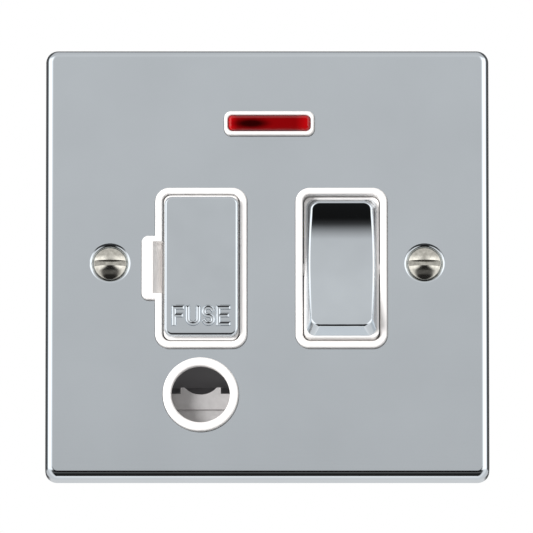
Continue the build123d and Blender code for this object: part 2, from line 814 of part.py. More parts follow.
# Neon leads: lamp to resistor, resistor to load live, lamp to load neutral
lead_end_z = load_z + block_height / 2 - 2 * lead_radius
with BuildPart() as neon_leads:
    with BuildSketch(Plane.YZ.offset(resistor_right)):
        with Locations((-lamp_height, neon_z)):
            Circle(lead_radius)
    extrude(amount=resistor_gap)
    with BuildLine():
        FilletPolyline(
            (resistor_left, -lamp_height, neon_z),
            (load_live_x, -lamp_height, neon_z),
            (load_live_x, -lamp_height, lead_end_z),
            (load_live_x, -block_front, lead_end_z),
            radius=lead_bend,
        )
    with BuildSketch(Plane((resistor_left, -lamp_height, neon_z), z_dir=(-1, 0, 0))):
        Circle(lead_radius)
    sweep()
with BuildPart() as neutral_lead:
    with BuildLine():
        FilletPolyline(
            (neon_x + lamp_length / 2, -lamp_height, neon_z),
            (load_neutral_x, -lamp_height, neon_z),
            (load_neutral_x, -lamp_height, lead_end_z),
            (load_neutral_x, -block_front, lead_end_z),
            radius=lead_bend,
        )
    with BuildSketch(Plane((neon_x + lamp_length / 2, -lamp_height, neon_z), z_dir=(1, 0, 0))):
        Circle(lead_radius)
    sweep()
with neon_leads:
    add(neutral_lead.part)
neon_leads.part.label = "neon_leads"
export_step(neon_leads.part, "parts/neon_leads.step")

# Upper fuse clip: grips the fuse's upper cap, its foot meets the live link
with BuildPart() as upper_fuse_clip:
    with BuildSketch(Plane.XY.offset(upper_clip_z)):
        clip_section()
    extrude(amount=clip_width / 2, both=True)
    with BuildSketch(front(floor)):
        with Locations((fuse_x, (upper_clip_z - clip_width / 2 + link_z + link_width / 2) / 2)):
            Rectangle(clip_width, link_z + link_width / 2 - upper_clip_z + clip_width / 2)
    extrude(amount=strap_sheet)
upper_fuse_clip.part.label = "upper_fuse_clip"
export_step(upper_fuse_clip.part, "parts/upper_fuse_clip.step")

# Lower fuse clip: grips the fuse's lower cap, its foot runs up the left side to the load live terminal
with BuildPart() as lower_fuse_clip:
    with BuildSketch(Plane.XY.offset(lower_clip_z)):
        clip_section()
    extrude(amount=clip_width / 2, both=True)
    with BuildSketch(front(floor)):
        foot_right = fuse_x + clip_width / 2
        riser_left = load_live_x - block_width / 2
        with Locations(((foot_right + riser_left) / 2, lower_clip_z)):
            Rectangle(foot_right - riser_left, clip_width)
        with Locations((riser_left + link_width / 2, (lower_clip_z + load_z) / 2)):
            Rectangle(link_width, load_z - lower_clip_z)
        with Locations((load_live_x, load_z)):
            Rectangle(block_width, block_height)
        with Locations((load_live_x, load_z)):
            Circle(clamp_radius + slip, mode=Mode.SUBTRACT)
    extrude(amount=strap_sheet)
lower_fuse_clip.part.label = "lower_fuse_clip"
export_step(lower_fuse_clip.part, "parts/lower_fuse_clip.step")

# Live fixed contact: pad, ledge, leg and the link across to the upper fuse clip
with BuildPart() as live_fixed_contact:
    with BuildSketch(Plane.YZ.offset(live_x)):
        contact_leg()
    extrude(amount=blade_width / 2, both=True)
    with BuildSketch(front(pad_front)):
        with Locations((live_x, pad_z)):
            Circle(tip_radius)
    extrude(amount=-pad_thick)
    with BuildSketch(front(floor)):
        link_left = fuse_x + clip_width / 2
        link_right = live_x + blade_width / 2
        with Locations(((link_left + link_right) / 2, link_z)):
            Rectangle(link_right - link_left, link_width)
        with Locations((live_x, (leg_z + link_z) / 2)):
            Rectangle(blade_width, link_z - leg_z)
    extrude(amount=strap_sheet)
live_fixed_contact.part.label = "live_fixed_contact"
export_step(live_fixed_contact.part, "parts/live_fixed_contact.step")

# Neutral fixed contact: pad, ledge, leg and the foot under the load neutral terminal
with BuildPart() as neutral_fixed_contact:
    with BuildSketch(Plane.YZ.offset(neutral_x)):
        contact_leg()
    extrude(amount=blade_width / 2, both=True)
    with BuildSketch(front(pad_front)):
        with Locations((neutral_x, pad_z)):
            Circle(tip_radius)
    extrude(amount=-pad_thick)
    with BuildSketch(front(floor)):
        with Locations((neutral_x, (leg_z + load_z) / 2)):
            Rectangle(blade_width, load_z - leg_z)
        with Locations((load_neutral_x, load_z)):
            Rectangle(block_width, block_height)
        with Locations((load_neutral_x, load_z)):
            Circle(clamp_radius + slip, mode=Mode.SUBTRACT)
    extrude(amount=strap_sheet)
neutral_fixed_contact.part.label = "neutral_fixed_contact"
export_step(neutral_fixed_contact.part, "parts/neutral_fixed_contact.step")

# Live fulcrum: carries the live blade, its foot lies under the supply live terminal
with BuildPart() as live_fulcrum:
    with BuildSketch(Plane.YZ.offset(live_x)):
        knife_section()
    extrude(amount=blade_width / 2, both=True)
    with BuildSketch(front(floor)):
        with Locations((live_x, (row_z + feet_end) / 2)):
            Rectangle(blade_width, row_z - feet_end)
        with Locations((supply_live_x, supply_z)):
            Rectangle(block_width, block_height)
        with Locations((supply_live_x, supply_z)):
            Circle(clamp_radius + slip, mode=Mode.SUBTRACT)
    extrude(amount=strap_sheet)
live_fulcrum.part.label = "live_fulcrum"
export_step(live_fulcrum.part, "parts/live_fulcrum.step")

# Neutral fulcrum: carries the neutral blade, its foot lies under the supply neutral terminal
with BuildPart() as neutral_fulcrum:
    with BuildSketch(Plane.YZ.offset(neutral_x)):
        knife_section()
    extrude(amount=blade_width / 2, both=True)
    with BuildSketch(front(floor)):
        with Locations((neutral_x, (row_z + feet_end) / 2)):
            Rectangle(blade_width, row_z - feet_end)
        with Locations((supply_neutral_x, supply_z)):
            Rectangle(block_width, block_height)
        with Locations((supply_neutral_x, supply_z)):
            Circle(clamp_radius + slip, mode=Mode.SUBTRACT)
    extrude(amount=strap_sheet)
neutral_fulcrum.part.label = "neutral_fulcrum"
export_step(neutral_fulcrum.part, "parts/neutral_fulcrum.step")

# Live blade and its contact tip
with BuildPart() as live_blade:
    with BuildSketch(side_of(live_blade_plane)):
        blade_section()
    extrude(amount=blade_width / 2, both=True)
live_blade.part.label = "live_blade"
export_step(live_blade.part, "parts/live_blade.step")

with BuildPart() as live_tip:
    with BuildSketch(live_blade_plane.offset(blade_stand - blade_thick)):
        with Locations((0, tip_at)):
            Circle(tip_radius)
    extrude(amount=-tip_thick)
live_tip.part.label = "live_tip"
export_step(live_tip.part, "parts/live_tip.step")

# Neutral blade and its contact tip
with BuildPart() as neutral_blade:
    with BuildSketch(side_of(neutral_blade_plane)):
        blade_section()
    extrude(amount=blade_width / 2, both=True)
neutral_blade.part.label = "neutral_blade"
export_step(neutral_blade.part, "parts/neutral_blade.step")

with BuildPart() as neutral_tip:
    with BuildSketch(neutral_blade_plane.offset(blade_stand - blade_thick)):
        with Locations((0, tip_at)):
            Circle(tip_radius)
    extrude(amount=-tip_thick)
neutral_tip.part.label = "neutral_tip"
export_step(neutral_tip.part, "parts/neutral_tip.step")

# Rocker: white frame whose ends are round about the pivot, with posts for the plungers
rocker_half = open_width / 2 - slide
bore_floor = rim_height - rocker_web
with BuildPart() as rocker_frame:
    with BuildSketch(side_of(rocker_plane)):
        Circle(open_height / 2 - slide)
        with Locations((0, (rim_height - rocker_skirt) / 2)):
            Rectangle(open_height, rim_height + rocker_skirt, mode=Mode.INTERSECT)
    extrude(amount=rocker_half, both=True)
    with BuildSketch(rocker_plane.offset(-rocker_skirt)):
        RectangleRounded(2 * rocker_half, open_height - 2 * slide, open_corner)
    extrude(amount=rim_height + rocker_skirt, mode=Mode.INTERSECT)
    with BuildSketch(Plane.YZ.offset(switch_x)):
        with Locations((-pivot_height, row_z)):
            Circle(pivot_radius)
    extrude(amount=open_width / 2 + pivot_length - slide, both=True)
    with BuildSketch(rocker_plane.offset(-rocker_skirt)):
        Rectangle(2 * rocker_half - 2 * rocker_wall, open_height - 2 * slide - 3 * rocker_wall)
    extrude(amount=rim_height + rocker_skirt - rocker_web, mode=Mode.SUBTRACT)
    with BuildSketch(rocker_plane.offset(bore_floor)):
        with GridLocations(pole_pitch, 0, 2, 1):
            Circle(post_radius)
    extrude(amount=-post_length - bore_floor)
    with BuildSketch(rocker_plane.offset(bore_floor)):
        with GridLocations(pole_pitch, 0, 2, 1):
            Circle(plunger_radius + run)
    extrude(amount=-post_length - bore_floor, mode=Mode.SUBTRACT)
rocker_frame.part.label = "rocker_frame"
export_step(rocker_frame.part, "parts/rocker_frame.step")

# Rocker cap: polished, with drafted sides and a dished face
face_half = cap_length / 2 - cap_end_slope
dish_radius = (face_half * face_half + cap_dish * cap_dish) / (2 * cap_dish)
with BuildPart() as rocker_cap:
    with BuildSketch(rocker_plane.offset(rim_height)):
        RectangleRounded(cap_width, cap_length, cap_corner)
    with BuildSketch(rocker_plane.offset(cap_height)):
        RectangleRounded(cap_width - 2 * cap_side_slope, cap_length - 2 * cap_end_slope, cap_corner)
    loft()
    with BuildSketch(side_of(rocker_plane)):
        with Locations((0, cap_height - cap_dish + dish_radius)):
            Circle(dish_radius)
    extrude(amount=cap_width, both=True, mode=Mode.SUBTRACT)
    fillet(rocker_cap.faces().filter_by(GeomType.CYLINDER).sort_by(SortBy.AREA)[-1].edges(), cap_edge)
rocker_cap.part.label = "rocker_cap"
export_step(rocker_cap.part, "parts/rocker_cap.step")

# Live plunger: round-ended pin in the rocker's post
with BuildPart() as live_plunger:
    with BuildSketch(live_rocker_plane.offset(-plunger_tail)):
        Circle(plunger_radius)
    extrude(amount=plunger_tail - plunger_reach)
    with Locations(live_rocker_plane.offset(-plunger_reach)):
        Sphere(plunger_radius)
live_plunger.part.label = "live_plunger"
export_step(live_plunger.part, "parts/live_plunger.step")

# Neutral plunger
with BuildPart() as neutral_plunger:
    with BuildSketch(neutral_rocker_plane.offset(-plunger_tail)):
        Circle(plunger_radius)
    extrude(amount=plunger_tail - plunger_reach)
    with Locations(neutral_rocker_plane.offset(-plunger_reach)):
        Sphere(plunger_radius)
neutral_plunger.part.label = "neutral_plunger"
export_step(neutral_plunger.part, "parts/neutral_plunger.step")

# Plunger springs: between the floor of each post's bore and the plunger's tail
spring_length = bore_floor + plunger_tail - spring_wire - 2 * run
with BuildPart() as live_spring:
    with BuildLine() as live_coil:
        coil_foot = live_rocker_plane.offset(-plunger_tail + spring_wire / 2 + run)
        Helix(
            spring_length / spring_turns,
            spring_length,
            spring_radius,
            center=coil_foot.origin,
            direction=coil_foot.z_dir,
        )
    with BuildSketch(Plane(live_coil.line @ 0, z_dir=live_coil.line % 0)):
        RegularPolygon(spring_wire / 2, 6)
    sweep(is_frenet=True)
live_spring.part.label = "live_spring"
export_step(live_spring.part, "parts/live_spring.step")

with BuildPart() as neutral_spring:
    with BuildLine() as neutral_coil:
        coil_foot = neutral_rocker_plane.offset(-plunger_tail + spring_wire / 2 + run)
        Helix(
            spring_length / spring_turns,
            spring_length,
            spring_radius,
            center=coil_foot.origin,
            direction=coil_foot.z_dir,
        )
    with BuildSketch(Plane(neutral_coil.line @ 0, z_dir=neutral_coil.line % 0)):
        RegularPolygon(spring_wire / 2, 6)
    sweep(is_frenet=True)
neutral_spring.part.label = "neutral_spring"
export_step(neutral_spring.part, "parts/neutral_spring.step")

# Fuse drawer: front plate, side walls with stop ribs at the tail, cradle for the cartridge
drawer_half = open_width / 2 - slide
drawer_back = drawer_front - drawer_thick
with BuildPart() as fuse_drawer:
    with BuildSketch(front(drawer_back)):
        with Locations((fuse_x, row_z)):
            RectangleRounded(2 * drawer_half, open_height - 2 * slide, open_corner)
    extrude(amount=drawer_thick)
    with BuildSketch(front(drawer_back)):
        with Locations((fuse_x, row_z)):
            with GridLocations(2 * drawer_half - drawer_wall, 0, 2, 1):
                Rectangle(drawer_wall, drawer_side)
    extrude(amount=tail_end - drawer_back)
    with BuildSketch(front(tail_end)):
        with Locations((fuse_x, row_z + stop_z)):
            with GridLocations(2 * drawer_half - drawer_wall + stop_rib, 0, 2, 1):
                Rectangle(drawer_wall + stop_rib, stop_height)
    extrude(amount=stop_thick)
    with BuildSketch(front(drawer_back)):
        with Locations((fuse_x, row_z)):
            Rectangle(cradle_width, cradle_height)
    extrude(amount=-cradle_depth)
    with BuildSketch(Plane.XY.offset(row_z)):
        with Locations((fuse_x, -fuse_height)):
            Circle(fuse_radius - fuse_cap_skin + run)
        with Locations((fuse_x, -fuse_height + cradle_depth / 2)):
            Rectangle(cradle_throat, cradle_depth)
    extrude(amount=cradle_height, both=True, mode=Mode.SUBTRACT)
    with BuildSketch(front(drawer_back + drawer_thick / 4)):
        with Locations((fuse_x - drawer_half, row_z)):
            Rectangle(2 * pry_depth, pry_height)
    extrude(amount=pry_slot, mode=Mode.SUBTRACT)
fuse_drawer.part.label = "fuse_drawer"
export_step(fuse_drawer.part, "parts/fuse_drawer.step")

# Drawer cap: polished cover on the drawer's front
with BuildPart() as drawer_cap:
    with BuildSketch(front(drawer_front)):
        with Locations((fuse_x, row_z)):
            RectangleRounded(fuse_cap_width, fuse_cap_height, fuse_cap_corner)
    extrude(amount=fuse_cap_thick)
    fillet(drawer_cap.faces().sort_by(Axis.Y)[0].edges(), fuse_cap_round)
drawer_cap.part.label = "drawer_cap"
export_step(drawer_cap.part, "parts/drawer_cap.step")

# Fuse cartridge: ceramic tube
with BuildPart() as fuse_tube:
    with BuildSketch(Plane.XY.offset(row_z)):
        with Locations((fuse_x, -fuse_height)):
            Circle(fuse_radius - fuse_cap_skin)
    extrude(amount=fuse_length / 2 - 2 * fuse_cap_skin, both=True)
fuse_tube.part.label = "fuse_tube"
export_step(fuse_tube.part, "parts/fuse_tube.step")

# Fuse end caps: two closed cups on the tube's ends
with BuildPart() as fuse_end_caps:
    with BuildSketch(Plane.XY.offset(row_z)):
        with Locations((fuse_x, -fuse_height)):
            Circle(fuse_radius)
    extrude(amount=fuse_length / 2, both=True)
    with BuildSketch(Plane.XY.offset(row_z)):
        with Locations((fuse_x, -fuse_height)):
            Circle(fuse_radius - fuse_cap_skin + run / 2)
    extrude(amount=fuse_length / 2 - 2 * fuse_cap_skin, both=True, mode=Mode.SUBTRACT)
    with BuildSketch(Plane.XY.offset(row_z)):
        with Locations((fuse_x, -fuse_height)):
            Circle(2 * fuse_radius)
    extrude(amount=fuse_length / 2 - fuse_cap_long, both=True, mode=Mode.SUBTRACT)
fuse_end_caps.part.label = "fuse_end_caps"
export_step(fuse_end_caps.part, "parts/fuse_end_caps.step")

# Cord saddle: bar with a horned seat, drawn up by its two screws
with BuildPart() as cord_saddle:
    with BuildSketch(front(saddle_front)):
        with Locations((flex_x, flex_z + (shoulder_rise - saddle_drop) / 2)):
            Rectangle(saddle_width, shoulder_rise + saddle_drop)
        with Locations((flex_x, flex_z + horn_rise / 2)):
            Rectangle(horn_spread, horn_rise)
        with Locations((flex_x, flex_z + seat_rise + seat_radius)):
            Circle(seat_radius, mode=Mode.SUBTRACT)
    extrude(amount=-saddle_depth)
    with BuildSketch(front(saddle_front)):
        with Locations((flex_x, flex_z - (saddle_drop + saddle_sink_drop) / 2)):
            Rectangle(saddle_width, saddle_drop - saddle_sink_drop)
    extrude(amount=-saddle_sink, mode=Mode.SUBTRACT)
    with BuildSketch(Plane.XY.offset(saddle_bottom)):
        with Locations((grip_left, -grip_height), (grip_right, -grip_height)):
            Circle(grip_radius + slip)
    extrude(amount=shoulder_rise + saddle_drop, mode=Mode.SUBTRACT)
cord_saddle.part.label = "cord_saddle"
export_step(cord_saddle.part, "parts/cord_saddle.step")

# Grip screws: up through the saddle into the housing's posts
with BuildPart() as grip_screws:
    with BuildSketch(Plane.XY.offset(saddle_bottom)):
        with Locations((grip_left, -grip_height), (grip_right, -grip_height)):
            Circle(grip_radius)
    extrude(amount=grip_shank)
    with BuildSketch(Plane.XY.offset(saddle_bottom)):
        with Locations((grip_left, -grip_height), (grip_right, -grip_height)):
            Circle(grip_head)
    extrude(amount=-grip_head_thick)
    with BuildSketch(Plane.XY.offset(saddle_bottom - grip_head_thick)):
        with Locations((grip_left, -grip_height), (grip_right, -grip_height)):
            Rectangle(2 * grip_head + slip, bolt_slot)
    extrude(amount=grip_head_thick / 2, mode=Mode.SUBTRACT)
grip_screws.part.label = "grip_screws"
export_step(grip_screws.part, "parts/grip_screws.step")
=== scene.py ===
"""Looks of a switched fused spur unit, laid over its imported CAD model.

Every CAD piece gets the finish of the real one. The fuse cap is engraved, the fixing screws are threaded, the
plunger springs are wound and the neon lamp gets its electrodes. A pale studio shows the unit as it hangs on a
wall, seen from a little below. Lengths are metres in the CAD frame: X right, Z up, -Y to the room.
"""

import json
from math import asin, cos, pi, radians, sin, sqrt, tau

import bmesh
import bpy
from bpy.props import FloatProperty, FloatVectorProperty, IntProperty, PointerProperty
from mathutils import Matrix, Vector


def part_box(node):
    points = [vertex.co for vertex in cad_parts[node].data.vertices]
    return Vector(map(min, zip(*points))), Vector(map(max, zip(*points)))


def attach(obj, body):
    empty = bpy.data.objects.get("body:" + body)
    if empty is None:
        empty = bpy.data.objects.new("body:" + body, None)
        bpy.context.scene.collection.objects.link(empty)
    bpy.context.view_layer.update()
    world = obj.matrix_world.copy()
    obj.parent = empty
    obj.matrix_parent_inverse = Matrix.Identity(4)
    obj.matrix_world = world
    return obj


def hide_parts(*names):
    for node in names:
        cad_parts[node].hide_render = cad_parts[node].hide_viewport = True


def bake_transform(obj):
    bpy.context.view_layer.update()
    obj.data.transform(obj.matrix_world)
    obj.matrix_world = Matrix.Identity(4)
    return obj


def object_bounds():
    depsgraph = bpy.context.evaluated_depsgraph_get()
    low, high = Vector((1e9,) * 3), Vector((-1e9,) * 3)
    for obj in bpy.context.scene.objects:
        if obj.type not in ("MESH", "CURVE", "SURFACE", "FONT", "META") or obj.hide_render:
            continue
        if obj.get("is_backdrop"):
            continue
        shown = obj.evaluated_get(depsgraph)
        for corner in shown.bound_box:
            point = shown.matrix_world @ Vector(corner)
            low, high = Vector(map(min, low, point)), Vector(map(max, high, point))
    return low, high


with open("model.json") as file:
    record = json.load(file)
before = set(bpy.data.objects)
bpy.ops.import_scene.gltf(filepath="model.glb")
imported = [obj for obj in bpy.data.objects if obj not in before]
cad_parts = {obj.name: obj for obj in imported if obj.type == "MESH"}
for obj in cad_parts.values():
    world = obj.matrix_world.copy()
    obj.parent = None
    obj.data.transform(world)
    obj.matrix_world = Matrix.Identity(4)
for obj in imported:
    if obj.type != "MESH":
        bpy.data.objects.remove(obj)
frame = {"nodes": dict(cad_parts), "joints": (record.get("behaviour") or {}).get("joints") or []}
CAD_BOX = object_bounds()

bl_info = {
    "name": "Fused spur unit",
    "version": (1, 0, 0),
    "blender": (4, 5, 0),
    "location": "View3D > Sidebar > Spur unit",
    "description": "Dresses the packed model of a switched fused spur unit and sets up its studio",
    "category": "Object",
}

MM = 0.001
NODES = frame["nodes"]
WHITE = (1, 1, 1, 1)


# Colours and shader nodes


def linear(code):
    """Linear RGBA of an sRGB hex colour."""
    parts = [int(code[i : i + 2], 16) / 255 for i in (1, 3, 5)]
    return (*[c / 12.92 if c <= 0.04045 else ((c + 0.055) / 1.055) ** 2.4 for c in parts], 1.0)


def scaled(colour, gain):
    """A linear colour made brighter or darker."""
    return (*[part * gain for part in colour[:3]], 1.0)


def add_node(tree, kind, options=None, inputs=None):
    """Adds one node. Options are its settings. An input that is a socket is linked, any other is a value."""
    made = tree.nodes.new(kind)
    for name, value in (options or {}).items():
        setattr(made, name, value)
    for name, value in (inputs or {}).items():
        if isinstance(value, bpy.types.NodeSocket):
            tree.links.new(value, made.inputs[name])
        else:
            made.inputs[name].default_value = value
    return made


def repeats(millimetres):
    """Texture scale at which a pattern has features of this real size."""
    return 1 / (millimetres * MM)


def noise(tree, place, size, detail):
    """Noise with features of this size in millimetres."""
    inputs = {"Vector": place, "Scale": repeats(size), "Detail": detail}
    return add_node(tree, "ShaderNodeTexNoise", inputs=inputs).outputs["Fac"]


def stretched_noise(tree, place, sizes, detail):
    """Noise with features of these sizes along X, Y and Z, in millimetres."""
    inputs = {"Vector": place, "Scale": [repeats(size) for size in sizes]}
    stretch = add_node(tree, "ShaderNodeMapping", inputs=inputs)
    inputs = {"Vector": stretch.outputs["Vector"], "Scale": 1.0, "Detail": detail}
    return add_node(tree, "ShaderNodeTexNoise", inputs=inputs).outputs["Fac"]


def map_range(tree, value, to, start=(0.0, 1.0), interpolation="LINEAR"):
    """Turns a value's range from start into to."""
    inputs = {"Value": value, "From Min": start[0], "From Max": start[1], "To Min": to[0], "To Max": to[1]}
    options = {"interpolation_type": interpolation}
    return add_node(tree, "ShaderNodeMapRange", options, inputs).outputs["Result"]


def colour_ramp(tree, value, stops, interpolation="LINEAR"):
    """Colours along a value, given as (position, colour) pairs."""
    made = add_node(tree, "ShaderNodeValToRGB", inputs={"Fac": value})
    ramp = made.color_ramp
    ramp.interpolation = interpolation
    while len(ramp.elements) > 1:
        ramp.elements.remove(ramp.elements[-1])
    ramp.elements[0].position, ramp.elements[0].color = stops[0]
    for position, colour in stops[1:]:
        ramp.elements.new(position).color = colour
    return made.outputs["Color"]


def drift(tree, value, dull, bright):
    """A tone that drifts between two colours over the middle of a noise."""
    return colour_ramp(tree, value, [(0.3, dull), (0.7, bright)])


def mix_colours(tree, factor, first, second, blend="MIX"):
    """Mixes two colours."""
    options = {"data_type": "RGBA", "blend_type": blend}
    return add_node(tree, "ShaderNodeMix", options, {0: factor, 6: first, 7: second}).outputs[2]


def calculate(tree, operation, *values):
    """Result of one operation on sockets or numbers."""
    made = add_node(tree, "ShaderNodeMath", {"operation": operation}, dict(enumerate(values)))
    return made.outputs["Value"]


def relief(tree, height, strength, depth):
    """Normal of a surface with relief of this depth in millimetres."""
    inputs = {"Height": height, "Strength": strength, "Distance": depth * MM}
    return add_node(tree, "ShaderNodeBump", inputs=inputs).outputs["Normal"]


def new_material(name):
    """Empty node material, with its node tree and the coordinates of a piece's own frame."""
    made = bpy.data.materials.new(name)
    made.use_nodes = True
    tree = made.node_tree
    tree.nodes.clear()
    return made, tree, add_node(tree, "ShaderNodeTexCoord").outputs["Object"]


def finish_material(material, inputs):
    """Gives a material its shader and links that to the output."""
    tree = material.node_tree
    shader = add_node(tree, "ShaderNodeBsdfPrincipled", inputs=inputs)
    add_node(tree, "ShaderNodeOutputMaterial", inputs={"Surface": shader.outputs[0]})
    return material


# Meshes and pieces


def dress(material, *names):
    """Puts a finish on CAD pieces."""
    for name in names:
        for slot in NODES[name].material_slots:
            slot.material = material


def new_piece(name, mesh, material):
    """Shows a mesh as a piece with a finish."""
    piece = bpy.data.objects.new(name, mesh)
    bpy.context.scene.collection.objects.link(piece)
    mesh.materials.clear()
    mesh.materials.append(material)
    return piece


def to_mesh(bm, name):
    """Turns a bmesh into a mesh with its faces pointing out."""
    bmesh.ops.recalc_face_normals(bm, faces=bm.faces)
    mesh = bpy.data.meshes.new(name)
    bm.to_mesh(mesh)
    bm.free()
    return mesh


def cut_away(mesh, cutter, name):
    """Mesh with another closed mesh taken out of it."""
    kept = bpy.data.objects.new(name, mesh)
    tool = bpy.data.objects.new(name + "_cutter", cutter)
    for each in (kept, tool):
        bpy.context.scene.collection.objects.link(each)
    boolean = kept.modifiers.new("cut", "BOOLEAN")
    boolean.operation = "DIFFERENCE"
    boolean.solver = "EXACT"
    boolean.object = tool
    seen = kept.evaluated_get(bpy.context.evaluated_depsgraph_get())
    made = bpy.data.meshes.new_from_object(seen)
    for each in (kept, tool):
        old = each.data
        bpy.data.objects.remove(each)
        bpy.data.meshes.remove(old)
    made.name = name
    return made


def smooth_rolls(piece, sharp_angle):
    """Shades rolled edges round and keeps flat faces flat, as a mirror finish needs."""
    piece.data.shade_smooth()
    piece.data.set_sharp_from_angle(angle=sharp_angle)
    weighted = piece.modifiers.new("flat faces", "WEIGHTED_NORMAL")
    weighted.keep_sharp = True
    weighted.weight = 100


def skin_loops(bm, loops):
    """Closes a solid from rings of points with equal counts: walls between rings, a face on each end."""
    rings = [[bm.verts.new(point) for point in loop] for loop in loops]
    count = len(rings[0])
    for low, high in zip(rings, rings[1:]):
        for i in range(count):
            j = (i + 1) % count
            bm.faces.new((low[i], low[j], high[j], high[i]))
    bm.faces.new(rings[0][::-1])
    bm.faces.new(rings[-1])


def ring_about_y(x, y, radii):
    """Points round a line along Y, one for each radius."""
    count = len(radii)
    return [(x + r * cos(tau * i / count), y, r * sin(tau * i / count)) for i, r in enumerate(radii)]


# Finishes


def chrome_plate(settings):
    """Bright chrome on pressed steel, mopped to a mirror: cold grey, with a faint haze left by the mop."""
    material, tree, place = new_material("Bright chrome on pressed steel, mopped")
    haze = noise(tree, place, settings.mop_haze, 3.0)
    # Mop lines run across the plate. Real ones are finer than a hundredth of a millimetre, these are coarser.
    lines = stretched_noise(tree, place, (14, 14, 0.25), 2.0)
    inputs = {
        "Base Color": drift(tree, haze, scaled(settings.chrome, 0.97), scaled(settings.chrome, 1.03)),
        "Roughness": map_range(tree, haze, (0.03, 0.075)),
        "Normal": relief(tree, lines, 0.04, 0.01),
        "Metallic": 1.0,
    }
    return finish_material(material, inputs)


def chrome_cap(settings):
    """Chrome plated on moulded ABS: a cleaner, harder mirror than the plate's, with slight sink in it."""
    material, tree, place = new_material("Chrome plated ABS, moulded")
    sink = noise(tree, place, 5, 1.0)
    inputs = {
        "Base Color": drift(tree, sink, scaled(settings.chrome, 0.98), scaled(settings.chrome, 1.02)),
        "Roughness": map_range(tree, sink, (0.02, 0.05)),
        "Metallic": 1.0,
    }
    return finish_material(material, inputs)


def white_urea(settings):
    """Urea, compression moulded: a dense warm white with a soft gloss and a faint orange peel."""
    material, tree, place = new_material("White urea, compression moulded")
    flow = noise(tree, place, 7, 2.0)
    peel = noise(tree, place, 0.4, 1.0)
    inputs = {
        "Base Color": drift(tree, flow, scaled(settings.white, 0.985), settings.white),
        "Roughness": map_range(tree, peel, (0.26, 0.36)),
        "Normal": relief(tree, peel, 0.15, 0.01),
        "IOR": 1.55,
    }
    return finish_material(material, inputs)


def dark_urea(settings):
    """Dark urea, moulded in a spark-eroded tool: charcoal with a fine even grain that breaks up the gloss."""
    material, tree, place = new_material("Dark urea, spark-textured moulding")
    grain = noise(tree, place, 0.18, 2.0)
    flow = noise(tree, place, 6, 3.0)
    inputs = {
        "Base Color": drift(tree, flow, scaled(settings.dark, 0.94), scaled(settings.dark, 1.08)),
        "Roughness": map_range(tree, flow, (0.42, 0.58)),
        "Normal": relief(tree, grain, 0.5, 0.02),
        "IOR": 1.55,
    }
    return finish_material(material, inputs)


def red_lens(settings):
    """Tinted polycarbonate, injection moulded: red under a hard gloss, with a painted shade cloud where the
    unlit lamp sits and painted light at both ends.
    """
    material, tree, place = new_material("Red polycarbonate, moulded")
    low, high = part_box("neon_lens")
    middle = (low + high) / 2
    size = high - low
    # Painted shade: a dark cloud left of the middle, about a third of the lens wide, where the lamp's end
    # sits behind the lens
    inputs = {
        "Vector": place,
        "Location": (low.x + 0.29 * size.x, low.y, middle.z - 0.05 * size.z),
        "Scale": (0.3 * size.x, size.y, 0.36 * size.z),
    }
    behind = add_node(tree, "ShaderNodeMapping", {"vector_type": "TEXTURE"}, inputs).outputs["Vector"]
    cloud = add_node(tree, "ShaderNodeTexGradient", {"gradient_type": "SPHERICAL"}, {"Vector": behind})
    painted_shade_cloud = colour_ramp(tree, cloud.outputs["Fac"], [(0.05, WHITE), (0.75, linear("#5A1010"))], "EASE")
    # Painted light: the red is brighter towards both ends, where the white well lights the lens through its
    # ends
    axes = add_node(tree, "ShaderNodeSeparateXYZ", inputs={"Vector": place})
    along = map_range(tree, axes.outputs["X"], (0.0, 1.0), (low.x, high.x))
    gains = (0.05, 2.0), (0.14, 0.9), (0.8, 0.9), (0.95, 2.0)
    tone = colour_ramp(tree, along, [(share, scaled(settings.red, gain)) for share, gain in gains])
    flow = noise(tree, place, 2.5, 1.0)
    # The face is flat. Its gloss is leant down 5 degrees, 0.09 out for each 1 up, so that it mirrors the dark
    # opening of the studio, as the lens in the photo mirrors something dark
    inputs = {"Height": axes.outputs["Z"], "Distance": 0.09, "Normal": relief(tree, flow, 0.2, 0.1)}
    lean = add_node(tree, "ShaderNodeBump", inputs=inputs)
    inputs = {
        "Base Color": mix_colours(tree, 1.0, tone, painted_shade_cloud, "MULTIPLY"),
        "Normal": lean.outputs["Normal"],
        "Roughness": 0.03,
        "IOR": 1.45,
        "Transmission Weight": 0.15,
    }
    return finish_material(material, inputs)


def lamp_glass():
    """Soda glass, drawn and pinched: clear, with the slight ripple of a drawn tube."""
    material, tree, place = new_material("Soda glass, drawn tube")
    inputs = {
        "Base Color": linear("#EEF2EF"),
        "Normal": relief(tree, noise(tree, place, 1.5, 0.0), 0.2, 0.05),
        "Roughness": 0.02,
        "IOR": 1.52,
        "Transmission Weight": 1.0,
    }
    return finish_material(material, inputs)


def resistor_lacquer():
    """Carbon film resistor, dipped in tan lacquer and banded: a glossy bead with four rings round it."""
    material, tree, place = new_material("Tan lacquer, dipped and banded")
    low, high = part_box("neon_resistor")
    axes = add_node(tree, "ShaderNodeSeparateXYZ", inputs={"Vector": place})
    along = map_range(tree, axes.outputs["X"], (0.0, 1.0), (low.x, high.x))
    tan = linear("#C9A878")
    rings = [(0.0, tan)]
    # Brown, black, yellow and gold rings, each with its start and its end along the bead
    for start, end, code in (
        (0.18, 0.26, "#5A3216"),
        (0.36, 0.44, "#17140F"),
        (0.52, 0.6, "#D9B521"),
        (0.74, 0.82, "#B08D3C"),
    ):
        rings += [(start, linear(code)), (end, tan)]
    inputs = {
        "Base Color": colour_ramp(tree, along, rings, "CONSTANT"),
        "Normal": relief(tree, noise(tree, place, 0.8, 1.0), 0.3, 0.04),
        "Roughness": 0.25,
        "IOR": 1.5,
    }
    return finish_material(material, inputs)


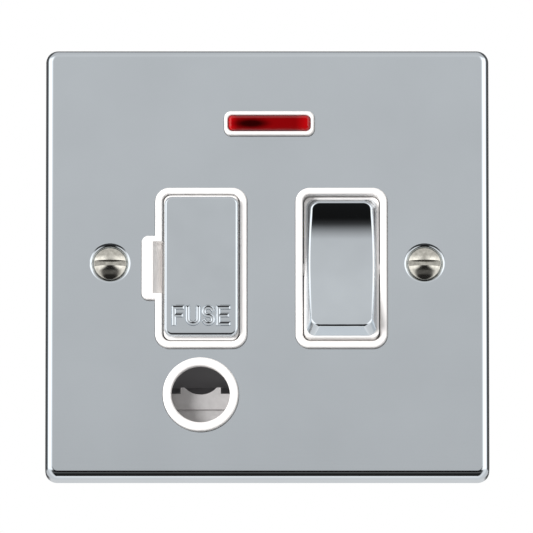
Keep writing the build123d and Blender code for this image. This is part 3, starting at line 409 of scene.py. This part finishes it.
def worked_metal(name, dull, bright, grain, line, rough):
    """Metal with lines from how it was worked: tone and roughness drift along them, and they show as relief.

    Grain is the size of the lines along X, Y and Z in millimetres, line their depth, rough the spread."""
    material, tree, place = new_material(name)
    lines = stretched_noise(tree, place, grain, 3.0)
    inputs = {
        "Base Color": colour_ramp(tree, lines, [(0.32, linear(dull)), (0.68, linear(bright))]),
        "Roughness": map_range(tree, lines, (rough[1], rough[0])),
        "Normal": relief(tree, lines, 0.4, line),
        "Metallic": 1.0,
    }
    return finish_material(material, inputs)


def fuse_ceramic():
    """Porcelain, extruded and bisque fired: chalk white with fine specks and almost no gloss."""
    material, tree, place = new_material("Porcelain, extruded and fired")
    specks = noise(tree, place, 0.3, 4.0)
    inputs = {
        "Base Color": colour_ramp(tree, specks, [(0.3, linear("#CFC6B6")), (0.42, linear("#ECE7DC"))]),
        "Normal": relief(tree, specks, 0.35, 0.03),
        "Roughness": 0.6,
    }
    return finish_material(material, inputs)


def waxy_moulding(name, dull, bright):
    """Unfilled acetal or nylon, injection moulded: milky and a little uneven, with a waxy sheen."""
    material, tree, place = new_material(name)
    milk = noise(tree, place, 1.2, 2.0)
    inputs = {"Base Color": drift(tree, milk, linear(dull), linear(bright)), "Roughness": 0.35, "IOR": 1.48}
    return finish_material(material, inputs)


def painted_board(settings):
    """Matt painted board, rolled: the pale floor, with the faint mottle of a roller."""
    material, tree, place = new_material("Pale matt paint, rolled")
    mottle = noise(tree, place, 60, 2.0)
    tone = drift(tree, mottle, scaled(settings.floor, 0.98), settings.floor)
    return finish_material(material, {"Base Color": tone, "Roughness": 0.9})


# Sizes and colours a user may change


class SpurFinishes(bpy.types.PropertyGroup):
    """Colours of the unit's finishes."""

    chrome: FloatVectorProperty(
        name="Chrome",
        description="Mirror colour of the face plate and the caps",
        subtype="COLOR",
        size=4,
        default=linear("#C5CBD0"),
    )
    white: FloatVectorProperty(
        name="White moulding",
        description="Front moulding, fuse drawer and rocker",
        subtype="COLOR",
        size=4,
        default=linear("#F8F5F3"),
    )
    dark: FloatVectorProperty(
        name="Dark moulding",
        description="Rear housing",
        subtype="COLOR",
        size=4,
        default=linear("#747274"),
    )
    red: FloatVectorProperty(
        name="Red lens",
        description="Tint of the neon lens",
        subtype="COLOR",
        size=4,
        default=linear("#8E0509"),
    )
    mop_haze: FloatProperty(
        name="Mop haze",
        description="Size of the cloudy patches in the plate's polish, in millimetres",
        default=18.0,
        min=1.0,
    )


class SpurWord(bpy.types.PropertyGroup):
    """The engraved word on the fuse cap."""

    height: FloatProperty(
        name="Height", description="Height of the letters", unit="LENGTH", default=4.2 * MM
    )
    stroke: FloatProperty(
        name="Stroke", description="Width of the groove at the face", unit="LENGTH", default=0.95 * MM
    )
    depth: FloatProperty(name="Depth", description="Depth of the groove", unit="LENGTH", default=0.28 * MM)
    gap: FloatProperty(name="Gap", description="Space between letters", unit="LENGTH", default=0.12 * MM)
    rise: FloatProperty(
        name="Rise",
        description="From the cap's lower edge to the letters",
        unit="LENGTH",
        default=1.84 * MM,
    )


class SpurScrews(bpy.types.PropertyGroup):
    """The fixing screws."""

    dome: FloatProperty(name="Dome", description="Rise of the head's dome", unit="LENGTH", default=0.9 * MM)
    land: FloatProperty(
        name="Land", description="Thickness of the head at its rim", unit="LENGTH", default=0.2 * MM
    )
    edge: FloatProperty(
        name="Edge", description="Radius of the head's rounded rim", unit="LENGTH", default=0.35 * MM
    )
    neck: FloatProperty(name="Neck", description="Radius of the plain neck", unit="LENGTH", default=1.5 * MM)
    thread: FloatProperty(
        name="Thread", description="Outer radius of the thread", unit="LENGTH", default=1.75 * MM
    )
    thread_start: FloatProperty(
        name="Thread start",
        description="Where the thread starts, behind the wall plane",
        unit="LENGTH",
        default=0.5 * MM,
    )
    pitch: FloatProperty(
        name="Pitch", description="Distance between threads", unit="LENGTH", default=0.6 * MM
    )
    thread_depth: FloatProperty(
        name="Thread depth", description="Depth of the thread", unit="LENGTH", default=0.32 * MM
    )
    slot_width: FloatProperty(
        name="Slot width", description="Width of the driver slot", unit="LENGTH", default=1.1 * MM
    )
    slot_depth: FloatProperty(
        name="Slot depth", description="Depth of the driver slot", unit="LENGTH", default=0.8 * MM
    )
    around: IntProperty(name="Facets", description="Facets round a screw", default=64, min=16)


class SpurStudio(bpy.types.PropertyGroup):
    """Camera, light and floor."""

    elevation: FloatProperty(
        name="Elevation",
        description="Angle of the camera above the horizon",
        subtype="ANGLE",
        default=radians(-15),
    )
    lens: FloatProperty(
        name="Lens",
        description="Focal length in millimetres, long so that edges stay parallel",
        default=1500.0,
    )
    frame_width: FloatProperty(
        name="Frame width",
        description="Width of the picture at the plate",
        unit="LENGTH",
        default=102.2 * MM,
    )
    lift: FloatProperty(
        name="Lift",
        description="Height of the plate's centre above the picture's",
        unit="LENGTH",
        default=0.63 * MM,
    )
    side: FloatProperty(
        name="Side",
        description="The plate's centre right of the picture's",
        unit="LENGTH",
        default=0.153 * MM,
    )
    floor_drop: FloatProperty(
        name="Floor drop", description="Floor below the unit's centre", unit="LENGTH", default=2.0
    )
    floor_radius: FloatProperty(
        name="Floor radius", description="Radius of the round floor", unit="LENGTH", default=1.1
    )
    floor: FloatVectorProperty(
        name="Floor",
        description="Colour of the floor",
        subtype="COLOR",
        size=4,
        default=linear("#EDEBE8"),
    )
    fill: FloatProperty(
        name="Fill", description="Strength of the light from all round", default=0.5, min=0.0
    )
    key: FloatProperty(
        name="Key", description="Power of the soft light on the left, in watts", default=24.0, min=0.0
    )
    front: FloatProperty(
        name="Front light", description="Power of the soft light in front, in watts", default=2.6, min=0.0
    )


# Pieces


class SPUR_OT_polished_plate(bpy.types.Operator):
    """Polish the face plate and the rocker's cap"""

    bl_idname = "spur.polished_plate"
    bl_label = "Face plate and rocker cap"

    def execute(self, context):
        finishes = context.scene.spur_finishes
        dress(chrome_plate(finishes), "face_plate")
        dress(chrome_cap(finishes), "rocker_cap")
        return {"FINISHED"}


class SPUR_OT_mouldings(bpy.types.Operator):
    """Finish the white mouldings, the dark housing, the plungers and the cord saddle"""

    bl_idname = "spur.mouldings"
    bl_label = "Mouldings"

    def execute(self, context):
        finishes = context.scene.spur_finishes
        dress(white_urea(finishes), "front_moulding", "fuse_drawer", "rocker_frame")
        dress(dark_urea(finishes), "rear_housing")
        acetal = waxy_moulding("Natural acetal, moulded", "#DCD8CB", "#EDEAE0")
        dress(acetal, "live_plunger", "neutral_plunger")
        # Partly painted shade: the saddle is a darker grey than its nylon, set to stand for the shade it sits
        # in deep in the outlet
        nylon_with_painted_shade = waxy_moulding("Grey nylon with painted shade", "#A4A2A2", "#ACAAAA")
        dress(nylon_with_painted_shade, "cord_saddle")
        return {"FINISHED"}


def rounded_loop(width, height, corner, steps):
    """Points (x, z) round a rectangle with rounded corners, about its centre."""
    points = []
    for turn, (side, end) in enumerate(((1, 1), (-1, 1), (-1, -1), (1, -1))):
        for i in range(steps + 1):
            angle = (turn + i / steps) * pi / 2
            x = side * (width / 2 - corner) + corner * cos(angle)
            z = end * (height / 2 - corner) + corner * sin(angle)
            points.append((x, z))
    return points


def groove_outline(path, half):
    """Outline round an open path (x, z) at half a width to each side."""
    path = [Vector(point) for point in path]
    left, right = [], []
    for i, point in enumerate(path):
        along = (path[min(i + 1, len(path) - 1)] - path[max(i - 1, 0)]).normalized()
        across = Vector((-along.y, along.x)) * half
        reach = along * half * ((i == len(path) - 1) - (i == 0))
        left.append(point + across + reach)
        right.append(point - across + reach)
    return left + right[::-1]


def arc_points(centre, radii, start, end):
    """Points (x, z) along an oval arc, angles in degrees."""
    steps = 16
    angles = [radians(start + (end - start) * i / steps) for i in range(steps + 1)]
    return [(centre[0] + radii[0] * cos(angle), centre[1] + radii[1] * sin(angle)) for angle in angles]


def upper_arms(width, height, half):
    """The part of the outline that F and E share: the middle arm, the top arm and the back of the stem."""
    # The middle arm is a little shorter than the others and lies a little above half height
    arm, middle = width * 0.86, height * 0.52
    return [
        (half, middle - half),
        (arm + half, middle - half),
        (arm + half, middle + half),
        (half, middle + half),
        (half, height - half),
        (width + half, height - half),
        (width + half, height + half),
        (-half, height + half),
    ]


def letter_f(width, height, half):
    """Outline of a groove shaped F, round centre lines of this width and height."""
    return [(-half, -half), (half, -half), *upper_arms(width, height, half)]


def letter_e(width, height, half):
    """Outline of a groove shaped E."""
    foot = [(-half, -half), (width + half, -half), (width + half, half), (half, half)]
    return foot + upper_arms(width, height, half)


def letter_u(width, height, half):
    """Outline of a groove shaped U."""
    bowl = arc_points((width / 2, width / 2), (width / 2, width / 2), 180, 360)
    return groove_outline([(0, height), *bowl, (width, height)], half)


def letter_s(width, height, half):
    """Outline of a groove shaped S."""
    radii = (width / 2, height / 4)
    upper = arc_points((width / 2, height * 0.75), radii, 25, 270)
    lower = arc_points((width / 2, height * 0.25), radii, 90, -155)
    return groove_outline(upper + lower[1:], half)


class SPUR_OT_fuse_cap(bpy.types.Operator):
    """Make the polished fuse cap with its engraved word"""

    bl_idname = "spur.fuse_cap"
    bl_label = "Engraved fuse cap"

    corner: FloatProperty(
        name="Corner", description="Radius of the cap's corners", unit="LENGTH", default=1.5 * MM
    )
    roll: FloatProperty(
        name="Roll", description="Radius of the rolled front edge", unit="LENGTH", default=0.5 * MM
    )

    def execute(self, context):
        word = context.scene.spur_word
        low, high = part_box("drawer_cap")
        middle = (low + high) / 2
        size = high - low
        # Rings of (inset, y): the back edge, then round the rolled front edge
        rolled = [radians(angle) for angle in range(0, 91, 10)]
        edges = [(self.roll * (1 - cos(a)), low.y + self.roll * (1 - sin(a))) for a in rolled]
        loops = []
        for inset, y in [(0.0, high.y), *edges]:
            ring = rounded_loop(size.x - 2 * inset, size.z - 2 * inset, self.corner - inset, 8)
            loops.append([(middle.x + x, y, middle.z + z) for x, z in ring])
        bm = bmesh.new()
        skin_loops(bm, loops)
        blank = to_mesh(bm, "fuse_cap_blank")

        # The groove is part of a round: steep at the face, level at its floor
        radius = ((word.stroke / 2) ** 2 + word.depth**2) / (2 * word.depth)
        levels = []
        for share in (-0.3, 0.0, 0.15, 0.3, 0.45, 0.6, 0.75, 0.87, 0.96):
            sunk = share * word.depth
            levels.append((sunk, sqrt(radius**2 - (radius - word.depth + sunk) ** 2)))
        # Each letter with its width
        letters = (
            (letter_f, 2.5 * MM),
            (letter_u, 3.0 * MM),
            (letter_s, 2.65 * MM),
            (letter_e, 2.85 * MM),
        )
        tall = word.height - word.stroke
        long = sum(width for _, width in letters) + (len(letters) - 1) * word.gap
        left = middle.x - long / 2
        foot = low.z + word.rise + word.stroke / 2
        bm = bmesh.new()
        for outline, width in letters:
            start = left + word.stroke / 2
            loops = []
            for sunk, half in levels:
                points = outline(width - word.stroke, tall, half)
                loops.append([(start + x, low.y + sunk, foot + z) for x, z in points])
            skin_loops(bm, loops)
            left += width + word.gap
        mesh = cut_away(blank, to_mesh(bm, "fuse_word"), "engraved_fuse_cap")
        chrome = bpy.data.materials["Chrome plated ABS, moulded"]
        cap = new_piece("engraved_fuse_cap", mesh, chrome)
        smooth_rolls(cap, radians(22))
        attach(cap, "fuse_carrier")
        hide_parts("drawer_cap")
        return {"FINISHED"}


class SPUR_OT_fixing_screws(bpy.types.Operator):
    """Make the two fixing screws with slotted heads and cut threads"""

    bl_idname = "spur.fixing_screws"
    bl_label = "Fixing screws"

    def execute(self, context):
        sizes = context.scene.spur_screws
        low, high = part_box("fixing_screws")
        head = high.z
        rim = low.y + sizes.dome + sizes.land
        sphere = (head**2 + sizes.dome**2) / (2 * sizes.dome)
        # Rings of (radius, y) from the tip of the dome over its rounded rim to the neck
        turn = asin((head - sizes.edge) / (sphere - sizes.edge))
        dome_rings, rim_rings = 12, 6
        plain = []
        for i in range(1, dome_rings + 1):
            angle = turn * i / dome_rings
            plain.append((sphere * sin(angle), low.y + sphere * (1 - cos(angle))))
        across, deep = plain[-1]
        for i in range(1, rim_rings + 1):
            angle = turn + (pi / 2 - turn) * i / rim_rings
            out = sizes.edge * (sin(angle) - sin(turn))
            back = sizes.edge * (cos(turn) - cos(angle))
            plain.append((across + out, deep + back))
        plain += [(head, rim), (sizes.neck, rim + head - sizes.neck), (sizes.neck, sizes.thread_start)]
        centres = (low.x + head, high.x - head)
        bm = bmesh.new()
        for centre in centres:
            loops = [ring_about_y(centre, y, [radius] * sizes.around) for radius, y in plain]
            loops += [ring_about_y(centre, y, radii) for y, radii in self.thread(sizes, high.y)]
            skin_loops(bm, loops)
        blank = to_mesh(bm, "screw_blank")
        # The slot's cutter reaches past both sides of the head
        half, reach = sizes.slot_width / 2, 2 * head
        bm = bmesh.new()
        for centre in centres:
            left, right = centre - reach, centre + reach
            loops = []
            for y in (low.y - sizes.dome, low.y + sizes.slot_depth):
                loops.append([(left, y, -half), (right, y, -half), (right, y, half), (left, y, half)])
            skin_loops(bm, loops)
        mesh = cut_away(blank, to_mesh(bm, "screw_slot"), "fixing_screws_cut")
        # Nickel on turned steel: warm grey and bright, a little uneven
        nickel = worked_metal(
            "Nickel plated steel, turned", "#B5B2A9", "#D2CFC6", (0.6, 0.6, 0.6), 0.004, (0.1, 0.2)
        )
        screws = new_piece("slotted_fixing_screws", mesh, nickel)
        smooth_rolls(screws, radians(30))
        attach(screws, "unit")
        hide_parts("fixing_screws")
        return {"FINISHED"}

    def thread(self, sizes, tip):
        """Rings of the thread up to the screw's tip, as (y, radii) pairs."""
        rings_per_turn = 6
        # The tip has this share of the radius, and tapers over this many rings
        tip_share, tip_rings = 0.55, 9
        # Flanks steeper than 1 leave the foot of the thread flat
        flank = 1.25
        long = tip - sizes.thread_start
        rows = round(long / sizes.pitch * rings_per_turn)
        for row in range(1, rows + 1):
            y = sizes.thread_start + long * row / rows
            # The thread runs out over its first turn
            cut = min(1, row / rings_per_turn)
            taper = min(1, tip_share + (1 - tip_share) * (rows - row) / tip_rings)
            radii = []
            for i in range(sizes.around):
                phase = (y / sizes.pitch - i / sizes.around) % 1
                deep = min(1, abs(2 * phase - 1) * flank)
                radius = (sizes.thread - sizes.thread_depth * deep * cut) * taper
                radii.append(radius * cut + sizes.neck * (1 - cut))
            yield y, radii


class SPUR_OT_neon(bpy.types.Operator):
    """Finish the neon: red lens, glass lamp with two electrodes, resistor and leads"""

    bl_idname = "spur.neon"
    bl_label = "Neon"

    electrode: FloatProperty(
        name="Electrode", description="Radius of an electrode", unit="LENGTH", default=0.35 * MM
    )
    spacing: FloatProperty(
        name="Spacing", description="Between the electrodes' centres", unit="LENGTH", default=1.5 * MM
    )

    def execute(self, context):
        dress(red_lens(context.scene.spur_finishes), "neon_lens")
        dress(lamp_glass(), "neon_lamp")
        dress(resistor_lacquer(), "neon_resistor")
        # Tinned copper, drawn: soft grey white wire
        tinned = worked_metal(
            "Tinned copper, drawn", "#A9ABA8", "#CBCCC8", (0.2, 0.2, 0.2), 0.004, (0.2, 0.35)
        )
        dress(tinned, "neon_leads")
        low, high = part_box("neon_lamp")
        middle = (low + high) / 2
        # Half an electrode's length is this share of the lamp's, and its ends are chamfered
        half = (high.x - low.x) * 0.36
        profile = (-1, 0.5), (-0.94, 1), (0.94, 1), (1, 0.5)
        sides = 16
        bm = bmesh.new()
        for side in (-1, 1):
            centre = middle.z + side * self.spacing / 2
            loops = []
            for share, thick in profile:
                radius = self.electrode * thick
                turns = [tau * i / sides for i in range(sides)]
                x = middle.x + share * half
                loops.append([(x, middle.y + radius * cos(t), centre + radius * sin(t)) for t in turns])
            skin_loops(bm, loops)
        # Iron wire, drawn: dull grey with draw lines along it
        iron = worked_metal("Iron wire, drawn", "#6E6A66", "#8F8A85", (0.5, 0.1, 0.1), 0.004, (0.3, 0.45))
        rods = new_piece("neon_electrodes", to_mesh(bm, "neon_electrodes"), iron)
        smooth_rolls(rods, radians(30))
        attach(rods, "unit")
        return {"FINISHED"}


class SPUR_OT_metalwork(bpy.types.Operator):
    """Finish the terminals, straps, switch blades and screws"""

    bl_idname = "spur.metalwork"
    bl_label = "Inner metalwork"

    def execute(self, context):
        # Drawn brass bar, sawn: warm yellow with draw lines along the bar
        brass = worked_metal(
            "Brass bar, drawn and sawn", "#B08A45", "#D3B06A", (0.15, 0.15, 4), 0.01, (0.2, 0.38)
        )
        dress(
            brass,
            "supply_live_terminal",
            "supply_neutral_terminal",
            "load_live_terminal",
            "load_neutral_terminal",
            "earth_terminal",
            "plate_bosses",
        )
        # Rolled brass strip, stamped: paler, with long roll lines
        strip = worked_metal(
            "Brass strip, rolled and stamped", "#C09A58", "#DDC080", (0.2, 3, 6), 0.006, (0.18, 0.32)
        )
        dress(
            strip,
            "upper_fuse_clip",
            "lower_fuse_clip",
            "live_fixed_contact",
            "neutral_fixed_contact",
            "live_fulcrum",
            "neutral_fulcrum",
            "live_blade",
            "neutral_blade",
        )
        # Fine silver, headed: soft white metal, slightly dulled
        silver = worked_metal(
            "Silver, headed rivet", "#C6C4BE", "#E6E5E0", (0.5, 0.5, 0.5), 0.004, (0.22, 0.4)
        )
        dress(silver, "live_tip", "neutral_tip")
        # Zinc on steel, passivated: grey with a drift from blue to straw
        zinc = worked_metal(
            "Zinc plated steel, passivated", "#AEB2B8", "#C3C0B2", (2.5, 2.5, 2.5), 0.01, (0.25, 0.4)
        )
        dress(zinc, "assembly_screws", "terminal_screws", "grip_screws", "earth_strap")
        return {"FINISHED"}


class SPUR_OT_springs(bpy.types.Operator):
    """Wind the plunger springs"""

    bl_idname = "spur.springs"
    bl_label = "Plunger springs"

    wire: FloatProperty(
        name="Wire", description="Diameter of the spring wire", unit="LENGTH", default=0.38 * MM
    )
    turns: IntProperty(name="Turns", description="Open coils between the two closed ones", default=4)

    def execute(self, context):
        # Spring steel, drawn: grey wire with fine marks
        steel = worked_metal(
            "Spring steel, drawn", "#8E9094", "#B7B9BC", (0.2, 0.2, 0.2), 0.004, (0.2, 0.32)
        )
        slides = {joint["name"]: joint for joint in frame["joints"]}
        for pole in ("live", "neutral"):
            spring, plunger = pole + "_spring", pole + "_plunger"
            axis = Vector(slides[plunger + "_slide"]["axis"]).normalized()
            low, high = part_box(spring)
            middle = (low + high) / 2
            along = [(vertex.co - middle).dot(axis) for vertex in NODES[spring].data.vertices]
            middle += axis * (min(along) + max(along)) / 2
            half = (max(along) - min(along) - self.wire) / 2
            mesh = self.wind(middle, axis, half, (high.x - low.x - self.wire) / 2)
            coil = new_piece(pole + "_spring_coil", mesh, steel)
            smooth_rolls(coil, radians(40))
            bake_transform(coil)
            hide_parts(spring)
        return {"FINISHED"}

    def wind(self, middle, axis, half, radius):
        """Mesh of a compression spring: a closed coil at each end, open coils of even pitch between."""
        side = Vector((1, 0, 0))
        across = axis.cross(side)
        steps, facets = 28, 10
        # A closed coil rises by a little more than its wire, so that turns don't touch
        rise = 1.05 * self.wire
        loops = []
        for i in range((self.turns + 2) * steps + 1):
            turn = i / steps
            share = min(max(turn - 1, 0), self.turns) / self.turns
            foot, head = rise * min(turn, 1), rise * max(turn - 1 - self.turns, 0)
            height = foot + 2 * (half - rise) * share + head
            out = side * cos(tau * turn) + across * sin(tau * turn)
            centre = middle + axis * (height - half) + out * radius
            angles = [tau * j / facets for j in range(facets)]
            loops.append([centre + (out * cos(a) + axis * sin(a)) * self.wire / 2 for a in angles])
        bm = bmesh.new()
        skin_loops(bm, loops)
        return to_mesh(bm, "spring_coil")


class SPUR_OT_fuse(bpy.types.Operator):
    """Finish the fuse: porcelain tube and plated end caps"""

    bl_idname = "spur.fuse"
    bl_label = "Fuse"

    def execute(self, context):
        dress(fuse_ceramic(), "fuse_tube")
        # Nickel on drawn brass: warm grey with lines round the cup
        caps = worked_metal(
            "Nickel plated brass, drawn cup", "#B7B3A6", "#D9D6CB", (0.8, 0.8, 0.2), 0.005, (0.14, 0.26)
        )
        dress(caps, "fuse_end_caps")
        return {"FINISHED"}


# Studio


class SPUR_OT_studio(bpy.types.Operator):
    """Set the camera, the pale floor and the studio light"""

    bl_idname = "spur.studio"
    bl_label = "Studio"

    def execute(self, context):
        scene = context.scene
        settings = scene.spur_studio
        scene.view_settings.view_transform = "Standard"
        scene.view_settings.look = "None"

        # Camera a little below the plate, far away
        camera = bpy.data.objects.new("camera", bpy.data.cameras.new("camera"))
        scene.collection.objects.link(camera)
        camera.data.lens = settings.lens
        distance = settings.lens * settings.frame_width / camera.data.sensor_width
        camera.data.clip_end = 4 * distance
        back = Vector((0, -cos(settings.elevation), sin(settings.elevation)))
        up = Vector((0, sin(settings.elevation), cos(settings.elevation)))
        plate = Vector((0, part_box("face_plate")[0].y, 0))
        camera.location = plate - up * settings.lift + back * distance
        camera.location.x -= settings.side
        camera.rotation_mode = "QUATERNION"
        camera.rotation_quaternion = (-back).to_track_quat("-Z", "Y")
        scene.camera = camera

        # Floor: a disc far below, which neither shows in the metal nor dims the light from below
        bm = bmesh.new()
        bmesh.ops.create_circle(bm, cap_ends=True, segments=96, radius=settings.floor_radius)
        bmesh.ops.translate(bm, verts=bm.verts, vec=(0, 0, -settings.floor_drop))
        floor = bpy.data.objects.new("floor", to_mesh(bm, "floor"))
        floor.data.materials.append(painted_board(settings))
        scene.collection.objects.link(floor)
        floor.visible_glossy = False
        floor.visible_diffuse = False
        floor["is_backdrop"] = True

        # Soft lights: the key from the left, and one in front that reaches into the outlet.
        # Each has a name, its power, its width and its place.
        lights = (
            ("key", settings.key, 0.5, (-1.1, -1.0, 0.12)),
            ("front_light", settings.front, 0.4, (-0.08, -1.45, -0.13)),
        )
        for name, watts, width, place in lights:
            painted_shade_cloud = bpy.data.objects.new(name, bpy.data.lights.new(name, "AREA"))
            painted_shade_cloud.data.shape = "DISK"
            painted_shade_cloud.data.size = width
            painted_shade_cloud.data.energy = watts
            painted_shade_cloud.location = place
            painted_shade_cloud.rotation_mode = "QUATERNION"
            painted_shade_cloud.rotation_quaternion = (plate - painted_shade_cloud.location).to_track_quat("-Z", "Y")
            painted_shade_cloud.visible_glossy = False
            painted_shade_cloud.visible_camera = False
            scene.collection.objects.link(painted_shade_cloud)

        self.light_tent(scene, settings)
        return {"FINISHED"}

    def light_tent(self, scene, settings):
        """World round the unit: soft white light, and what polished metal mirrors, by height and direction.

        In front a dark opening for the camera under a grey ceiling, white panels at the sides,
        behind a dark upper part over a white floor."""
        world = bpy.data.worlds.new("light tent")
        scene.world = world
        world.use_nodes = True
        tree = world.node_tree
        tree.nodes.clear()
        look = add_node(tree, "ShaderNodeTexCoord").outputs["Generated"]
        axes = add_node(tree, "ShaderNodeSeparateXYZ", inputs={"Vector": look})
        height = calculate(tree, "ARCSINE", axes.outputs["Z"])
        level = map_range(tree, height, (0.0, 1.0), (-pi / 2, pi / 2))
        ahead = calculate(tree, "MULTIPLY", axes.outputs["Y"], -1.0)
        aside = calculate(tree, "ABSOLUTE", calculate(tree, "ARCTAN2", axes.outputs["X"], ahead))

        def panel(*stops):
            """Brightness up one panel, as (degrees above the horizon, brightness) pairs."""
            greys = [((degrees + 90) / 180, (grey, grey, grey, 1)) for degrees, grey in stops]
            return colour_ramp(tree, level, greys)

        # Below the horizon the opening has a paler band, which the plate mirrors when seen from above
        opening = (-70, 0.02), (-29, 0.02), (-25, 0.14), (-14, 0.14), (-10, 0.02), (7.5, 0.01), (9.5, 0.06)
        front = panel((-90, 1.25), (-76, 1.25), *opening, (12.5, 0.5), (15, 0.8), (36, 0.88), (90, 0.75))
        sides = panel((-90, 1.25), (-40, 1.15), (-8, 1.15), (3, 1.8), (30, 1.85), (44, 0.8), (90, 0.8))
        rear = panel((-90, 1.25), (-65, 1.0), (-6, 0.85), (2, 0.12), (60, 0.12), (80, 0.75), (90, 0.75))
        # The dark opening is wider below the horizon
        wider = map_range(tree, height, (radians(19), 0.0), (radians(-12), radians(2)))
        beside = calculate(tree, "SUBTRACT", aside, wider)
        to_sides = map_range(tree, beside, (0.0, 1.0), (radians(7), radians(27)), "SMOOTHSTEP")
        to_rear = map_range(tree, aside, (0.0, 1.0), (radians(70), radians(92)), "SMOOTHSTEP")
        half = mix_colours(tree, to_sides, front, sides)
        whole = mix_colours(tree, to_rear, half, rear)
        mirrored = add_node(tree, "ShaderNodeBackground", inputs={"Color": whole})
        # Soft light: from above and from below, less from the dark opening
        spread = panel((-90, 1.7), (-45, 1.5), (-30, 0.6), (0, 0.6), (15, 0.85), (60, 1.0))
        inputs = {"Color": spread, "Strength": settings.fill}
        soft = add_node(tree, "ShaderNodeBackground", inputs=inputs)
        paper = add_node(tree, "ShaderNodeBackground", inputs={"Color": WHITE})
        ray = add_node(tree, "ShaderNodeLightPath")
        inputs = {0: ray.outputs["Is Glossy Ray"], 1: soft.outputs[0], 2: mirrored.outputs[0]}
        light = add_node(tree, "ShaderNodeMixShader", inputs=inputs)
        inputs = {0: ray.outputs["Is Camera Ray"], 1: light.outputs[0], 2: paper.outputs[0]}
        seen = add_node(tree, "ShaderNodeMixShader", inputs=inputs)
        add_node(tree, "ShaderNodeOutputWorld", inputs={"Surface": seen.outputs[0]})


class SPUR_PT_panel(bpy.types.Panel):
    """Lists the unit's pieces and settings"""

    bl_idname = "SPUR_PT_panel"
    bl_label = "Spur unit"
    bl_space_type = "VIEW_3D"
    bl_region_type = "UI"
    bl_category = "Spur unit"

    def draw(self, context):
        layout = self.layout
        for operator in OPERATORS:
            layout.operator(operator.bl_idname)
        for group in GROUPS:
            settings = getattr(context.scene, group)
            box = layout.box()
            for name in settings.__annotations__:
                box.prop(settings, name)


GROUPS = {
    "spur_finishes": SpurFinishes,
    "spur_word": SpurWord,
    "spur_screws": SpurScrews,
    "spur_studio": SpurStudio,
}
OPERATORS = (
    SPUR_OT_polished_plate,
    SPUR_OT_mouldings,
    SPUR_OT_fuse_cap,
    SPUR_OT_fixing_screws,
    SPUR_OT_neon,
    SPUR_OT_metalwork,
    SPUR_OT_springs,
    SPUR_OT_fuse,
    SPUR_OT_studio,
)
CLASSES = (*GROUPS.values(), *OPERATORS, SPUR_PT_panel)


def register():
    for each in CLASSES:
        bpy.utils.register_class(each)
    for name, group in GROUPS.items():
        setattr(bpy.types.Scene, name, PointerProperty(type=group))


def unregister():
    for name in GROUPS:
        delattr(bpy.types.Scene, name)
    for each in reversed(CLASSES):
        bpy.utils.unregister_class(each)


def main():
    """Dresses every piece, sets the studio and works out the size of the CAD and of the dressed model."""
    register()
    bpy.ops.spur.polished_plate()
    bpy.ops.spur.mouldings()
    bpy.ops.spur.fuse_cap()
    bpy.ops.spur.fixing_screws()
    bpy.ops.spur.neon()
    bpy.ops.spur.metalwork()
    bpy.ops.spur.springs()
    bpy.ops.spur.fuse()
    bpy.ops.spur.studio()
    boxes = {"cad": CAD_BOX, "visual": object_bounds()}
    {name: [list(corner) for corner in box] for name, box in boxes.items()}


if __name__ == "__main__":
    main()
